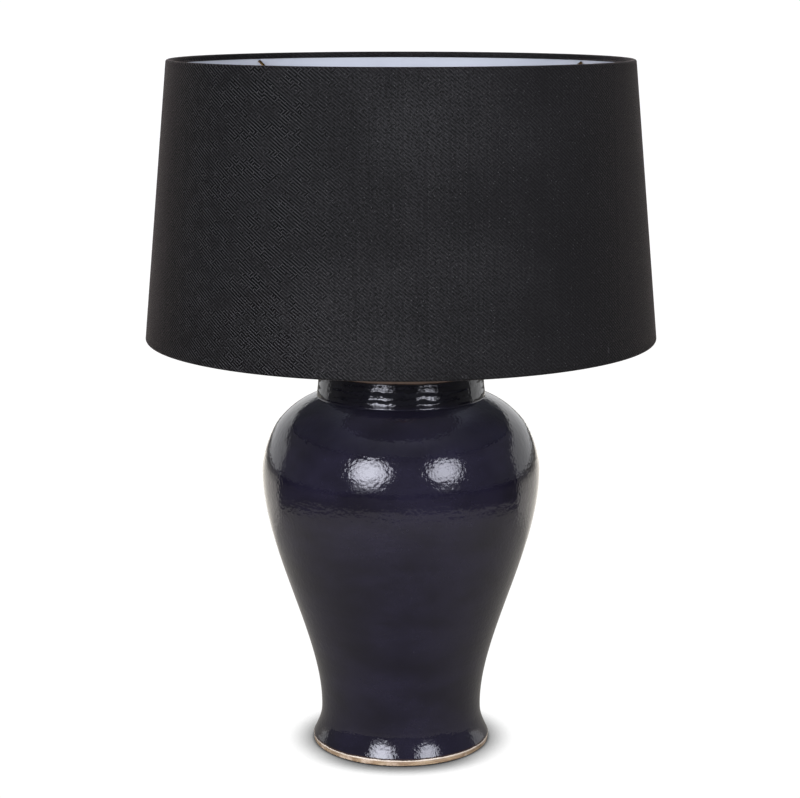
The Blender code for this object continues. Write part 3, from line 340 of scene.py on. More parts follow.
CLAY_PALE = (0.62, 0.49, 0.37)
CLAY_TAN = (0.46, 0.34, 0.21)
CLAY_BROWN = (0.26, 0.17, 0.10)
# Brown clay for the lip, made darker as painted shade under the lamp shade.
CLAY_LIP_SHADED = (0.105, 0.053, 0.032)
CLAY_SPECK = (0.10, 0.07, 0.05)
GLAZE_DEEP = (0.0070, 0.0061, 0.0112)
GLAZE_BLUE = (0.0130, 0.0113, 0.0228)
# Near-black for the neck: painted shade from the lamp shade above it.
GLAZE_NECK_SHADE = (0.0012, 0.0011, 0.0020)
GLAZE_THIN = (0.060, 0.034, 0.022)
GLAZE_PINHOLE = (0.03, 0.03, 0.05)
INLET_RADIUS = 0.0047
INLET_SEAT_RADIUS = 0.0065
INLET_SEAT_Y = 0.0828
INLET_Z = 0.0095
INLET_START, INLET_END = 0.06, 0.10


def bezier(start, start_handle, end_handle, end, count):
    """Points along a cubic curve, without its first point."""
    points = []
    for step in range(1, count + 1):
        t = step / count
        weights = ((1 - t) ** 3, 3 * t * (1 - t) ** 2, 3 * t * t * (1 - t), t ** 3)
        corners = (start, start_handle, end_handle, end)
        points.append(tuple(sum(w * c[axis] for w, c in zip(weights, corners)) for axis in (0, 1)))
    return points


def arc(centre, radius, start, end, count):
    """Points round part of a circle, with both ends, from angles in radians."""
    angles = (start + (end - start) * step / count for step in range(count + 1))
    return [(centre[0] + radius * math.cos(a), centre[1] + radius * math.sin(a)) for a in angles]


def beside(path, distance):
    """A path of (radius, height) points moved to its left by a distance."""
    moved = []
    for index, point in enumerate(path):
        before = path[max(index - 1, 0)]
        after = path[min(index + 1, len(path) - 1)]
        along = Vector((after[0] - before[0], after[1] - before[1])).normalized()
        moved.append((point[0] - along.y * distance, point[1] + along.x * distance))
    return moved


def geometry_tree(name, inputs):
    """An empty Geometry Nodes tree with named inputs, and the two ends of it."""
    tree = bpy.data.node_groups.new(name, "GeometryNodeTree")
    face = tree.interface
    face.new_socket("Geometry", in_out="INPUT", socket_type="NodeSocketGeometry")
    for label, kind in inputs:
        face.new_socket(label, in_out="INPUT", socket_type="NodeSocket" + kind)
    face.new_socket("Geometry", in_out="OUTPUT", socket_type="NodeSocketGeometry")
    return tree, tree.nodes.new("NodeGroupInput").outputs, tree.nodes.new("NodeGroupOutput").inputs


def geometry_node(tree, kind, inputs=(), **settings):
    """A node of the given kind with its settings and (input, value) pairs."""
    made = tree.nodes.new(kind)
    for name, value in settings.items():
        setattr(made, name, value)
    for name, value in inputs:
        feed(tree, value, made.inputs[name])
    return made


def make_turning_tree():
    """Turns a profile round Z, as on a wheel or lathe. The UV map is (turn, profile point)."""
    tree, given, out = geometry_tree("turned_on_the_wheel", (
        ("Steps", "Int"), ("First Angle", "Float"), ("Finish", "Material")))
    counted = geometry_node(tree, "GeometryNodeAttributeDomainSize", [("Geometry", given["Geometry"])])
    rows = counted.outputs["Point Count"]
    grid = geometry_node(tree, "GeometryNodeMeshGrid", [
        ("Vertices X", plus(tree, given["Steps"], 1.0)), ("Vertices Y", rows)])
    index = tree.nodes.new("GeometryNodeInputIndex").outputs[0]
    row = calc(tree, "FLOORED_MODULO", index, rows)
    column = calc(tree, "FLOOR", calc(tree, "DIVIDE", plus(tree, index, 0.5), rows))
    turn = calc(tree, "DIVIDE", column, given["Steps"])
    place = tree.nodes.new("GeometryNodeInputPosition").outputs[0]
    profile = geometry_node(tree, "GeometryNodeSampleIndex", [
        ("Geometry", given["Geometry"]), ("Value", place), ("Index", row)], data_type="FLOAT_VECTOR")
    angle = plus(tree, times(tree, turn, 2.0 * math.pi), given["First Angle"])
    swung = geometry_node(tree, "ShaderNodeVectorRotate", [
        ("Vector", profile.outputs["Value"]), ("Angle", angle)], rotation_type="Z_AXIS")
    wall = geometry_node(tree, "GeometryNodeSetPosition", [
        ("Geometry", grid.outputs["Mesh"]), ("Position", swung.outputs[0])])
    flat = geometry_node(tree, "ShaderNodeCombineXYZ", [("X", turn), ("Y", row)])
    at_points = geometry_node(tree, "GeometryNodeFieldOnDomain", [("Value", flat.outputs[0])],
                              data_type="FLOAT_VECTOR", domain="POINT")
    mapped = geometry_node(tree, "GeometryNodeStoreNamedAttribute", [
        ("Geometry", wall.outputs[0]), ("Name", "UVMap"), ("Value", at_points.outputs[0])],
        data_type="FLOAT2", domain="CORNER")
    closed = geometry_node(tree, "GeometryNodeMergeByDistance", [
        ("Geometry", mapped.outputs[0]), ("Distance", 0.000004)])
    real = geometry_node(tree, "GeometryNodeRealizeInstances", [("Geometry", closed.outputs[0])])
    done = geometry_node(tree, "GeometryNodeSetMaterial", [
        ("Geometry", real.outputs[0]), ("Material", given["Finish"])])
    feed(tree, done.outputs[0], out["Geometry"])
    return tree


TURNING = make_turning_tree()


def plain_mesh(name, mesh, stages):
    """Run a mesh through (tree, values by input name) pairs, and keep the result as a mesh."""
    rough = bpy.data.objects.new(name, mesh)
    scene.collection.objects.link(rough)
    for tree, values in stages:
        modifier = rough.modifiers.new(tree.name, "NODES")
        modifier.node_group = tree
        for socket in tree.interface.items_tree:
            if socket.in_out == "INPUT" and socket.name in values:
                modifier[socket.identifier] = values[socket.name]
    shape = rough.evaluated_get(bpy.context.evaluated_depsgraph_get())
    result = bpy.data.meshes.new_from_object(shape)
    bpy.data.objects.remove(rough)
    result.name = name
    return result


def tidied(mesh, sharp=math.radians(38.0)):
    """Weld a closed mesh, point its faces outwards and smooth it but for its sharp edges."""
    welded = bmesh.new()
    welded.from_mesh(mesh)
    bmesh.ops.remove_doubles(welded, verts=welded.verts, dist=0.000004)
    bmesh.ops.dissolve_degenerate(welded, dist=0.000001, edges=welded.edges)
    bmesh.ops.recalc_face_normals(welded, faces=welded.faces)
    for face in welded.faces:
        face.smooth = True
    welded.to_mesh(mesh)
    welded.free()
    mesh.set_sharp_from_angle(angle=sharp)
    return mesh


def turned(name, outline, steps, material, more=()):
    """A closed shape turned round Z from (radius, height) points, which end where they start."""
    profile = bpy.data.meshes.new(name + "_profile")
    points = [(radius, 0.0, height) for radius, height in outline]
    profile.from_pydata(points, [(i, i + 1) for i in range(len(points) - 1)], [])
    stages = [(TURNING, {"Steps": steps, "First Angle": 0.5 * math.pi, "Finish": material})]
    return tidied(plain_mesh(name, profile, stages + list(more)))


def show(name, mesh, body, slot, *nodes):
    """Put a finished piece in the scene, on its body, in place of its CAD nodes."""
    piece = bpy.data.objects.new(name, mesh)
    scene.collection.objects.link(piece)
    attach(piece, body)
    if nodes:
        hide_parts(*nodes)
    return piece


def noise(tree, vector, scale, detail=2.0, roughness=0.5, stretch=None):
    """Smooth noise from 0 to 1 on a vector in metres, drawn out by a stretch along each axis."""
    if stretch is not None:
        drawn = tree.nodes.new("ShaderNodeMapping")
        feed(tree, vector, drawn.inputs["Vector"])
        drawn.inputs["Scale"].default_value = stretch
        vector = drawn.outputs[0]
    made = tree.nodes.new("ShaderNodeTexNoise")
    feed(tree, vector, made.inputs["Vector"])
    made.inputs["Scale"].default_value = scale
    made.inputs["Detail"].default_value = detail
    made.inputs["Roughness"].default_value = roughness
    return made.outputs[0]


def bumped(tree, shader, height, depth, strength=1.0):
    """Feed a height from 0 to 1, worth a depth in metres, to a shader's normal."""
    made = tree.nodes.new("ShaderNodeBump")
    made.inputs["Distance"].default_value = depth
    made.inputs["Strength"].default_value = strength
    feed(tree, height, made.inputs["Height"])
    feed(tree, made.outputs[0], shader.inputs["Normal"])


def start_material(name):
    material = bpy.data.materials.new(name)
    material.use_nodes = True
    tree = material.node_tree
    return material, tree, tree.nodes["Principled BSDF"]


def clay_nodes(tree, spot, height):
    """Bare fired clay: streaks from the wheel, a pale rim by the glaze, a brown lip darkened with
    painted shade, specks.
    """
    streaks = noise(tree, spot, 60.0, 4.0, 0.65, (1.0, 1.0, 9.0))
    blotches = noise(tree, spot, 95.0, 3.0)
    specks = ramp(tree, noise(tree, spot, 900.0, 1.0), 0.66, 0.72)
    tan = blend_colours(tree, ramp(tree, streaks, 0.36, 0.66), CLAY_BROWN, CLAY_TAN)
    mottled = blend_colours(tree, ramp(tree, blotches, 0.45, 0.75), tan, CLAY_PALE)
    rim = ramp(tree, height, *CLAY_RIM_START)
    paler = blend_colours(tree, times(tree, rim, 0.9), mottled, CLAY_RIM)
    # The lip is brown clay, darkened with painted shade from the lamp shade over it.
    lip = ramp(tree, height, *CLAY_LIP_START)
    darker = blend_colours(tree, times(tree, lip, 0.9), paler, CLAY_LIP_SHADED)
    return blend_colours(tree, times(tree, specks, 0.55), darker, CLAY_SPECK)


def make_clay():
    material, tree, shader = start_material("bare_clay")
    spot = surface(tree)
    feed(tree, clay_nodes(tree, spot, axes_of(tree, spot)[2]), shader.inputs["Base Color"])
    feed(tree, ramp(tree, noise(tree, spot, 300.0), 0.3, 0.7, 0.72, 0.95), shader.inputs["Roughness"])
    bumped(tree, shader, noise(tree, spot, 700.0, 3.0), 0.0004)
    return material


def make_glaze():
    """Glossy navy glaze with a fine ripple, which breaks to brown where it thins at its edges."""
    material, tree, shader = start_material("navy_stoneware_glaze")
    spot = surface(tree)
    height = axes_of(tree, spot)[2]
    waver = minus(tree, noise(tree, spot, 45.0, 3.0, 0.6), 0.5)
    edge = plus(tree, height, times(tree, waver, 2.0 * GLAZE_WAVER))
    above = ramp(tree, edge, GLAZE_START - 0.0002, GLAZE_START + 0.0002)
    below = ramp(tree, edge, GLAZE_END + 0.0002, GLAZE_END - 0.0002)
    glazed = times(tree, above, below)
    thick = times(tree, ramp(tree, edge, GLAZE_START, GLAZE_START + GLAZE_THICK_LOW),
                  ramp(tree, edge, GLAZE_END, GLAZE_END - GLAZE_THICK_HIGH))
    clouds = noise(tree, spot, 14.0, 4.0, 0.6, (1.0, 1.0, 1.8))
    neck = ramp(tree, height, NECK_ROOT.y - 0.002, NECK_ROOT.y + 0.006)
    body = blend_colours(tree, ramp(tree, clouds, 0.30, 0.72), GLAZE_DEEP, GLAZE_BLUE)
    # The neck is darkened towards near-black: painted shade under the lamp shade.
    navy = blend_colours(tree, times(tree, neck, 0.7), body, GLAZE_NECK_SHADE)
    pinholes = ramp(tree, noise(tree, spot, 520.0, 0.0), 0.74, 0.78)
    flecked = blend_colours(tree, times(tree, pinholes, 0.12), navy, GLAZE_PINHOLE)
    coloured = blend_colours(tree, thick, GLAZE_THIN, flecked)
    clay = clay_nodes(tree, spot, height)
    feed(tree, blend_colours(tree, glazed, clay, coloured), shader.inputs["Base Color"])
    smears = ramp(tree, noise(tree, spot, 30.0, 3.0), 0.35, 0.75, *GLAZE_GLOSS)
    feed(tree, mix(tree, glazed, CLAY_ROUGH, smears), shader.inputs["Roughness"])
    shader.inputs["IOR"].default_value = 1.5
    peel = noise(tree, spot, 330.0, 1.0, 0.5)
    ripple = noise(tree, spot, 120.0, 1.0, 0.5)
    wheel = noise(tree, spot, 20.0, 2.0, 0.5, (0.6, 0.6, 5.0))
    skin = plus(tree, times(tree, peel, PEEL),
                plus(tree, times(tree, ripple, RIPPLE), times(tree, wheel, WHEEL)))
    warped = plus(tree, height, times(tree, noise(tree, spot, 85.0, 2.0), NECK_RING_WARP))
    turning = calc(tree, "SINE", times(tree, warped, 2.0 * math.pi / NECK_RING_PITCH))
    thrown = plus(tree, times(tree, turning, NECK_RING_DEPTH), times(tree, ripple, NECK_RIPPLE))
    lean = ramp(tree, height, NECK_ROOT.y, JAR_TOP, 0.0,
                (NECK_ROOT.y - JAR_TOP) * math.tan(NECK_LEAN) / GLAZE_RELIEF)
    relief = plus(tree, plus(tree, skin, times(tree, neck, thrown)), lean)
    bumped(tree, shader, plus(tree, relief, times(tree, glazed, GLAZE_STEP)), GLAZE_RELIEF)
    return material


CLAY = make_clay()
GLAZE = make_glaze()


def jar_side():
    """The jar's outer side from its foot edge to its neck root, (radius, height)."""
    drop, rise = WAIST[1] - FOOT_EDGE[1], BELLY[1] - WAIST[1]
    flare = (FOOT_EDGE[0] - FOOT_PULL[0] * (FOOT_EDGE[0] - WAIST[0]),
             FOOT_EDGE[1] + FOOT_PULL[1] * drop)
    points = [FOOT_EDGE]
    points += bezier(FOOT_EDGE, flare, (WAIST[0], WAIST[1] - WAIST_PULL[0] * drop), WAIST, 18)
    points += bezier(WAIST, (WAIST[0], WAIST[1] + WAIST_PULL[1] * rise),
                     (BELLY[0], BELLY[1] - BELLY_PULL[0] * rise), BELLY, 40)
    lean = Vector((-math.sin(SHOULDER_SLOPE), math.cos(SHOULDER_SLOPE)))
    below = (SHOULDER - Vector(BELLY)).length
    points += bezier(BELLY, (BELLY[0], BELLY[1] + BELLY_PULL[1] * (SHOULDER.y - BELLY[1])),
                     SHOULDER - SHOULDER_PULL[0] * below * lean, SHOULDER, 18)
    above = (NECK_ROOT - SHOULDER).length
    arrive = Vector((-math.sin(NECK_ROOT_SLOPE), math.cos(NECK_ROOT_SLOPE)))
    points += bezier(SHOULDER, SHOULDER + SHOULDER_PULL[1] * above * lean,
                     NECK_ROOT - ROOT_PULL * above * arrive, NECK_ROOT, 22)
    return points


def drill_piece(radius, start, end):
    """A round cutter that lies along Y at the height of the cord's hole."""
    drill = bmesh.new()
    bmesh.ops.create_cone(drill, cap_ends=True, segments=40, radius1=radius, radius2=radius,
                          depth=end - start)
    drill.transform(Matrix.Translation((0.0, 0.5 * (start + end), INLET_Z)) @
                    Matrix.Rotation(0.5 * math.pi, 4, "X"))
    mesh = bpy.data.meshes.new("drill")
    drill.to_mesh(mesh)
    drill.free()
    cutter = bpy.data.objects.new("drill", mesh)
    scene.collection.objects.link(cutter)
    return cutter


def make_jar():
    side = jar_side()
    neck_height = JAR_TOP - NECK_ROOT.y
    middle = (0.5 * (NECK_ROOT.x + NECK_MOUTH) - 0.0002, NECK_ROOT.y + 0.3 * neck_height)
    lip_centre = (NECK_MOUTH - LIP_ROUNDING, JAR_TOP - LIP_ROUNDING)
    root = (NECK_ROOT.x - NECK_TUCK, NECK_ROOT.y + ROOT_RISE)
    neck = bezier(side[-1], (root[0] + 0.0001, root[1] - 0.5 * ROOT_RISE), root,
                  (root[0], root[1] + ROOT_RISE), 4)
    neck += bezier(neck[-1], middle, (NECK_MOUTH, lip_centre[1] - 0.012),
                   (NECK_MOUTH, lip_centre[1]), 12)
    lip = arc(lip_centre, LIP_ROUNDING, 0.0, 0.5 * math.pi, 6)[1:]
    outer = side + neck + lip
    inner = [p for p in beside(side + neck[:6], JAR_WALL) if p[1] > FLOOR_TOP + 0.004]
    inner_lip = arc((NECK_MOUTH - JAR_WALL + LIP_ROUNDING, lip_centre[1]), LIP_ROUNDING,
                    math.pi, 0.5 * math.pi, 4)
    wall = [(inner[0][0] - 0.004, FLOOR_TOP)] + inner[::3] + inner_lip
    ring = FOOT_RADIUS - FOOT_RING_WIDTH
    rim = arc((FOOT_RADIUS - FOOT_ROUNDING, FOOT_ROUNDING), FOOT_ROUNDING, 0.0, -0.5 * math.pi, 5)
    inside_rim = arc((ring + FOOT_ROUNDING, FOOT_ROUNDING), FOOT_ROUNDING,
                     -0.5 * math.pi, -math.pi, 4)
    under = [(ring, RECESS_Z - 0.001), (ring - 0.001, RECESS_Z), (ROD_HOLE, RECESS_Z),
             (ROD_HOLE, FLOOR_TOP)]
    glaze_edge = [(FOOT_EDGE[0] - 0.0001, FOOT_EDGE[1] - 0.0008)]
    outline = outer[::-1] + glaze_edge + rim + inside_rim + under + wall
    mesh = turned("jar", outline + outline[:1], JAR_STEPS, GLAZE)
    mesh.materials.append(CLAY)
    uv = mesh.uv_layers[0].data
    last_glazed_row = len(outer) + 3
    for face in mesh.polygons:
        if max(uv[corner].uv[1] for corner in face.loop_indices) > last_glazed_row:
            face.material_index = 1
    jar = bpy.data.objects.new("jar_rough", mesh)
    scene.collection.objects.link(jar)
    cutters = [drill_piece(INLET_RADIUS, INLET_START, INLET_END),
               drill_piece(INLET_SEAT_RADIUS, INLET_SEAT_Y, INLET_END)]
    for cutter in cutters:
        boring = jar.modifiers.new("inlet", "BOOLEAN")
        boring.operation = "DIFFERENCE"
        boring.object = cutter
        boring.solver = "EXACT"
        boring.material_mode = "INDEX"
    shape = jar.evaluated_get(bpy.context.evaluated_depsgraph_get())
    bored = bpy.data.meshes.new_from_object(shape)
    for used in cutters + [jar]:
        bpy.data.objects.remove(used)
    bored.set_sharp_from_angle(angle=math.radians(40.0))
    show("jar", bored, "stand", "navy_glaze", "jar_body")


make_jar()


# ---- Foot: baize, cord bush and the hardware under the floor ----
# A disc of black felt is glued into the recess and covers the washer and nut. A moulded
# rubber bush lines the cord's hole in the back of the foot ring.

NUT_STEPS = 96
NUT_CHAMFER = math.radians(30.0)


def eased(outline, radius, count=3):
    """An outline whose inner corners are rounded, each by up to a radius."""
    soft = [outline[0]]
    for before, corner, after in zip(outline, outline[1:], outline[2:]):
        here = Vector(corner)
        back, on = Vector(before) - here, Vector(after) - here
        if back.length < 1e-6 or on.length < 1e-6:
            soft.append(corner)
            continue
        reach = min(radius, 0.45 * back.length, 0.45 * on.length)
        start, end = here + reach * back.normalized(), here + reach * on.normalized()
        for step in range(count + 1):
            t = step / count
            soft.append(tuple((1 - t) ** 2 * start + 2 * t * (1 - t) * here + t * t * end))
    soft.append(outline[-1])
    return soft


def washer_outline(outer, inner, thickness, ease=0.0003):
    """A ring's section, its corners eased."""
    start = (inner, 0.5 * thickness)
    corners = [start, (inner, thickness), (outer, thickness), (outer, 0.0), (inner, 0.0), start]
    return eased(corners, ease)


def make_wear_group():
    """Patches of wear and a fine grain, both from 0 to 1, on Object coordinates."""
    group = bpy.data.node_groups.new("wear_and_grain", "ShaderNodeTree")
    for label in ("Patches per Metre", "Grains per Metre"):
        group.interface.new_socket(label, in_out="INPUT", socket_type="NodeSocketFloat")
    for label in ("Wear", "Grain"):
        group.interface.new_socket(label, in_out="OUTPUT", socket_type="NodeSocketFloat")
    given = group.nodes.new("NodeGroupInput").outputs
    out = group.nodes.new("NodeGroupOutput").inputs
    spot = surface(group)
    for label, source, detail in (("Wear", "Patches per Metre", 5.0),
                                  ("Grain", "Grains per Metre", 2.0)):
        made = group.nodes.new("ShaderNodeTexNoise")
        feed(group, spot, made.inputs["Vector"])
        feed(group, given[source], made.inputs["Scale"])
        made.inputs["Detail"].default_value = detail
        made.inputs["Roughness"].default_value = 0.6
        feed(group, ramp(group, made.outputs[0], 0.3, 0.7), out[label])
    return group


WEAR = make_wear_group()


def worn_material(name, clean, dull, roughness, metallic, patches, grains, depth):
    """A finish that goes from clean to dull in patches, with a fine grain in its relief."""
    material, tree, shader = start_material(name)
    wear = tree.nodes.new("ShaderNodeGroup")
    wear.node_tree = WEAR
    wear.inputs["Patches per Metre"].default_value = patches
    wear.inputs["Grains per Metre"].default_value = grains
    worn, grain = wear.outputs["Wear"], wear.outputs["Grain"]
    feed(tree, blend_colours(tree, worn, clean, dull), shader.inputs["Base Color"])
    uneven = plus(tree, times(tree, worn, 0.7), times(tree, grain, 0.3))
    feed(tree, ramp(tree, uneven, 0.0, 1.0, *roughness), shader.inputs["Roughness"])
    shader.inputs["Metallic"].default_value = metallic
    bumped(tree, shader, grain, depth)
    return material


STEEL = worn_material("zinc_plated_steel", (0.60, 0.61, 0.62), (0.42, 0.41, 0.38),
                      roughness=(0.22, 0.45), metallic=1.0, patches=160.0, grains=1500.0,
                      depth=0.00002)
RUBBER = worn_material("moulded_rubber", (0.018, 0.018, 0.018), (0.035, 0.034, 0.032),
                       roughness=(0.55, 0.80), metallic=0.0, patches=90.0, grains=2500.0,
                       depth=0.00004)


def lifted(mesh, height):
    mesh.transform(Matrix.Translation((0.0, 0.0, height)))
    return mesh


def turned_piece(name, outline, steps, material, height, body, finish, node):
    """A piece turned round the lamp's own axis, lifted to its height and shown."""
    return show(name, lifted(turned(name, outline, steps, material), height), body, finish, node)


def refinished(node, material):
    """Give a CAD node that keeps its shape a better material."""
    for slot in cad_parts[node].material_slots:
        slot.material = material


def make_felt():
    """Pressed felt: short matted fibres that lie all ways, with lint caught in them."""
    material, tree, shader = start_material("black_felt")
    spot = surface(tree)
    one_way = noise(tree, spot, 300.0, 3.0, 0.6, (8.0, 1.0, 1.0))
    other_way = noise(tree, spot, 300.0, 3.0, 0.6, (1.0, 8.0, 1.0))
    fibres = calc(tree, "MAXIMUM", one_way, other_way)
    lint = ramp(tree, noise(tree, spot, 700.0, 1.0), 0.72, 0.78)
    base = blend_colours(tree, ramp(tree, fibres, 0.45, 0.75), (0.010, 0.010, 0.010),
                         (0.045, 0.044, 0.044))
    linty = blend_colours(tree, times(tree, lint, 0.4), base, (0.16, 0.15, 0.14))
    feed(tree, linty, shader.inputs["Base Color"])
    shader.inputs["Roughness"].default_value = 0.95
    shader.inputs["Sheen Weight"].default_value = 0.35
    shader.inputs["Sheen Roughness"].default_value = 0.5
    bumped(tree, shader, fibres, 0.0003)
    return material


def make_baize():
    low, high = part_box("base_baize")
    radius, thickness = high.x, high.z - low.z
    outline = eased([(0.0, thickness), (radius, thickness), (radius, 0.0), (0.0, 0.0)], 0.0004)
    felt = turned_piece("felt_pad", outline, 128, make_felt(), low.z,
                        "stand", "black_baize", "base_baize")


def make_cord_bush():
    """The bush's flange has a bevelled edge and a moulded ring round its bore."""
    low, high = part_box("cord_grommet")
    length = high.y - low.y
    bore, barrel, flange, flange_thickness = 0.0033, 0.0044, 0.0060, 0.0014
    seat, face = length - flange_thickness, length - 0.0003
    outline = [(bore, 0.5 * length), (bore, face), (bore + 0.0006, length),
               (bore + 0.0012, length), (bore + 0.0014, face), (flange - 0.0007, face),
               (flange, length - 0.0009), (flange, seat), (barrel, seat), (barrel, 0.0),
               (bore, 0.0), (bore, 0.5 * length)]
    mesh = turned("cord_bush", eased(outline, 0.0002), 64, RUBBER)
    mesh.transform(Matrix.Translation((0.0, low.y, 0.5 * (low.z + high.z))) @
                   Matrix.Rotation(-0.5 * math.pi, 4, "X"))
    show("cord_bush", mesh, "stand", "black_rubber", "cord_grommet")


def nut_mesh(name, flats, bore, thickness, material):
    """A hexagonal nut with its corners chamfered on both faces."""
    face_radius = 0.47 * flats
    rings = []
    for side in range(NUT_STEPS):
        angle = 2.0 * math.pi * side / NUT_STEPS
        off_flat = (angle % (math.pi / 3.0)) - math.pi / 6.0
        hexagon = 0.5 * flats / math.cos(off_flat)
        chamfer = (hexagon - face_radius) * math.tan(NUT_CHAMFER)
        section = [(bore, 0.0), (face_radius, 0.0), (hexagon, chamfer),
                   (hexagon, thickness - chamfer), (face_radius, thickness), (bore, thickness)]
        rings.append([(r * math.cos(angle), r * math.sin(angle), z) for r, z in section])
    points = [point for ring in rings for point in ring]
    size = len(rings[0])
    faces = []
    for side in range(NUT_STEPS):
        here, there = side * size, ((side + 1) % NUT_STEPS) * size
        for step in range(size):
            ahead = (step + 1) % size
            faces.append((here + step, there + step, there + ahead, here + ahead))
    mesh = bpy.data.meshes.new(name)
    mesh.from_pydata(points, [], faces)
    mesh.materials.append(material)
    return tidied(mesh, math.radians(24.0))


def make_floor_nut():
    low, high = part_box("floor_nut")
    mesh = nut_mesh("floor_nut_steel", high.y - low.y, ROD_HOLE, high.z - low.z, STEEL)
    show("floor_nut_steel", lifted(mesh, low.z), "stand", "zinc_steel", "floor_nut")


make_baize()
make_cord_bush()
make_floor_nut()
for node in ("floor_washer", "floor_lock_washer", "centre_rod", "socket_set_screw"):
    refinished(node, STEEL)


# ---- Neck: gasket, cap, nut and spacer ----
# A rubber ring lies on the lip. A spun brass cap on it is drawn down by a brass nut on the
# rod, and a waisted spacer above the nut carries the harp's saddle.

GASKET_BORE = 0.0751
BRASS = worn_material("aged_brass_plate", (0.46, 0.29, 0.11), (0.22, 0.13, 0.055),
                      roughness=(0.22, 0.42), metallic=1.0, patches=120.0, grains=1400.0,
                      depth=0.00003)


def make_spun_brass():
    """Aged brass with the fine rings that a spinning tool leaves round its axis."""
    material, tree, shader = start_material("spun_brass")
    spot = surface(tree)
    x, y, _ = axes_of(tree, spot)
    around = tree.nodes.new("ShaderNodeCombineXYZ")
    feed(tree, from_axis(tree, x, y), around.inputs[0])
    rings = noise(tree, around.outputs[0], 1600.0, 2.0, 0.7)
    tarnish = ramp(tree, noise(tree, spot, 60.0, 5.0, 0.65), 0.35, 0.7)
    brass = blend_colours(tree, tarnish, (0.50, 0.33, 0.13), (0.25, 0.15, 0.06))
    feed(tree, brass, shader.inputs["Base Color"])
    rough = ramp(tree, plus(tree, tarnish, rings), 0.3, 1.6, 0.20, 0.42)
    feed(tree, rough, shader.inputs["Roughness"])
    shader.inputs["Metallic"].default_value = 1.0
    bumped(tree, shader, rings, 0.00003)
    return material


SPUN_BRASS = make_spun_brass()


def make_gasket():
    low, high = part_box("neck_gasket")
    turned_piece("lip_gasket", washer_outline(high.x, GASKET_BORE, high.z - low.z), 128, RUBBER, low.z,
                 "stand", "black_rubber", "neck_gasket")


def make_neck_cap():
    low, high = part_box("neck_cap")
    rim, rise, metal, land = high.x, high.z - low.z, 0.0012, 0.0140
    lip = rim - 0.008
    upper = [(ROD_HOLE, rise - 0.5 * metal), (ROD_HOLE, rise), (land, rise)]
    upper += bezier((land, rise), (0.55 * rim, rise), (0.85 * rim, 0.35 * rise),
                    (rim - 0.0003, metal), 24)
    curl = arc((rim - 0.5 * metal, 0.5 * metal), 0.5 * metal, 0.35 * math.pi, -0.5 * math.pi, 6)
    lower = [(lip, 0.0)]
    lower += bezier((lip, 0.0), (0.75 * rim, 0.35 * rise), (0.50 * rim, rise - metal),
                    (land, rise - metal), 18)
    outline = upper + curl + lower + [(ROD_HOLE, rise - metal), (ROD_HOLE, rise - 0.5 * metal)]
    turned_piece("spun_neck_cap", outline, 160, SPUN_BRASS, low.z,
                 "stand", "aged_brass", "neck_cap")


def make_cap_nut():
    low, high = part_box("cap_nut")
    mesh = nut_mesh("cap_nut_brass", high.y - low.y, ROD_HOLE, high.z - low.z, BRASS)
    show("cap_nut_brass", lifted(mesh, low.z), "stand", "aged_brass", "cap_nut")


def make_spacer():
    low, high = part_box("neck_spacer")
    tall, wide = high.z - low.z, high.x
    face, flank, waist = wide - 0.0012, wide - 0.0004, wide - 0.0010
    outline = [(ROD_HOLE, 0.5 * tall), (ROD_HOLE, tall), (face, tall), (wide, tall - 0.0010),
               (flank, tall - 0.0020), (waist, 0.65 * tall), (waist, 0.35 * tall),
               (flank, 0.0020), (wide, 0.0010), (face, 0.0), (ROD_HOLE, 0.0),
               (ROD_HOLE, 0.5 * tall)]
    turned_piece("waisted_spacer", eased(outline, 0.0006), 72, BRASS, low.z,
                 "stand", "aged_brass", "neck_spacer")


make_gasket()
make_neck_cap()
make_cap_nut()
make_spacer()


# ---- Saddle, harp, ferrules and stud ----
# The saddle is a pressed brass bar with a peg near each end. The harp is one bent wire whose
# feet stand on the pegs, held by two sliding ferrules. The shade's stud is soldered on its top.

SADDLE_SPAN = 0.0640
SADDLE_THICKNESS = 0.0020
PEG_RADIUS = 0.0022
PEG_HEIGHT = 0.0160
PEG_SHOULDER = (0.0036, 0.0050)
FERRULE_LENGTH = 0.0120
FERRULE_TRAVEL = 0.0140
HARP_WIRE_RADIUS = 0.0017
HARP_WIDTH = 0.1160
STUD_SEAT = (0.0090, 0.0025)
STUD_RADIUS = 0.0030


def merged(name, meshes):
    """One mesh of several closed ones."""
    whole = bmesh.new()
    for mesh in meshes:
        whole.from_mesh(mesh)
    result = bpy.data.meshes.new(name)
    whole.to_mesh(result)
    whole.free()
    for material in meshes[0].materials:
        result.materials.append(material)
    return result


def curve_mesh(curve, lines, material, closed=False):
    """The mesh that a curve's settings make of lines of (x, y, z) points."""
    for line in lines:
        spline = curve.splines.new("POLY")
        spline.points.add(len(line) - 1)
        for control, point in zip(spline.points, line):
            control.co = (*point, 1.0)
        spline.use_cyclic_u = closed
    rough = bpy.data.objects.new(curve.name, curve)
    scene.collection.objects.link(rough)
    seen = rough.evaluated_get(bpy.context.evaluated_depsgraph_get())
    mesh = bpy.data.meshes.new_from_object(seen)
    bpy.data.objects.remove(rough)
    mesh.materials.clear()
    mesh.materials.append(material)
    return mesh


def bent_wire(name, points, radius, material):
    """A round wire through points in space, with closed ends."""
    curve = bpy.data.curves.new(name, "CURVE")
    curve.dimensions = "3D"
    curve.bevel_depth = radius
    curve.bevel_resolution = 6
    curve.use_fill_caps = True
    return tidied(curve_mesh(curve, [points], material))


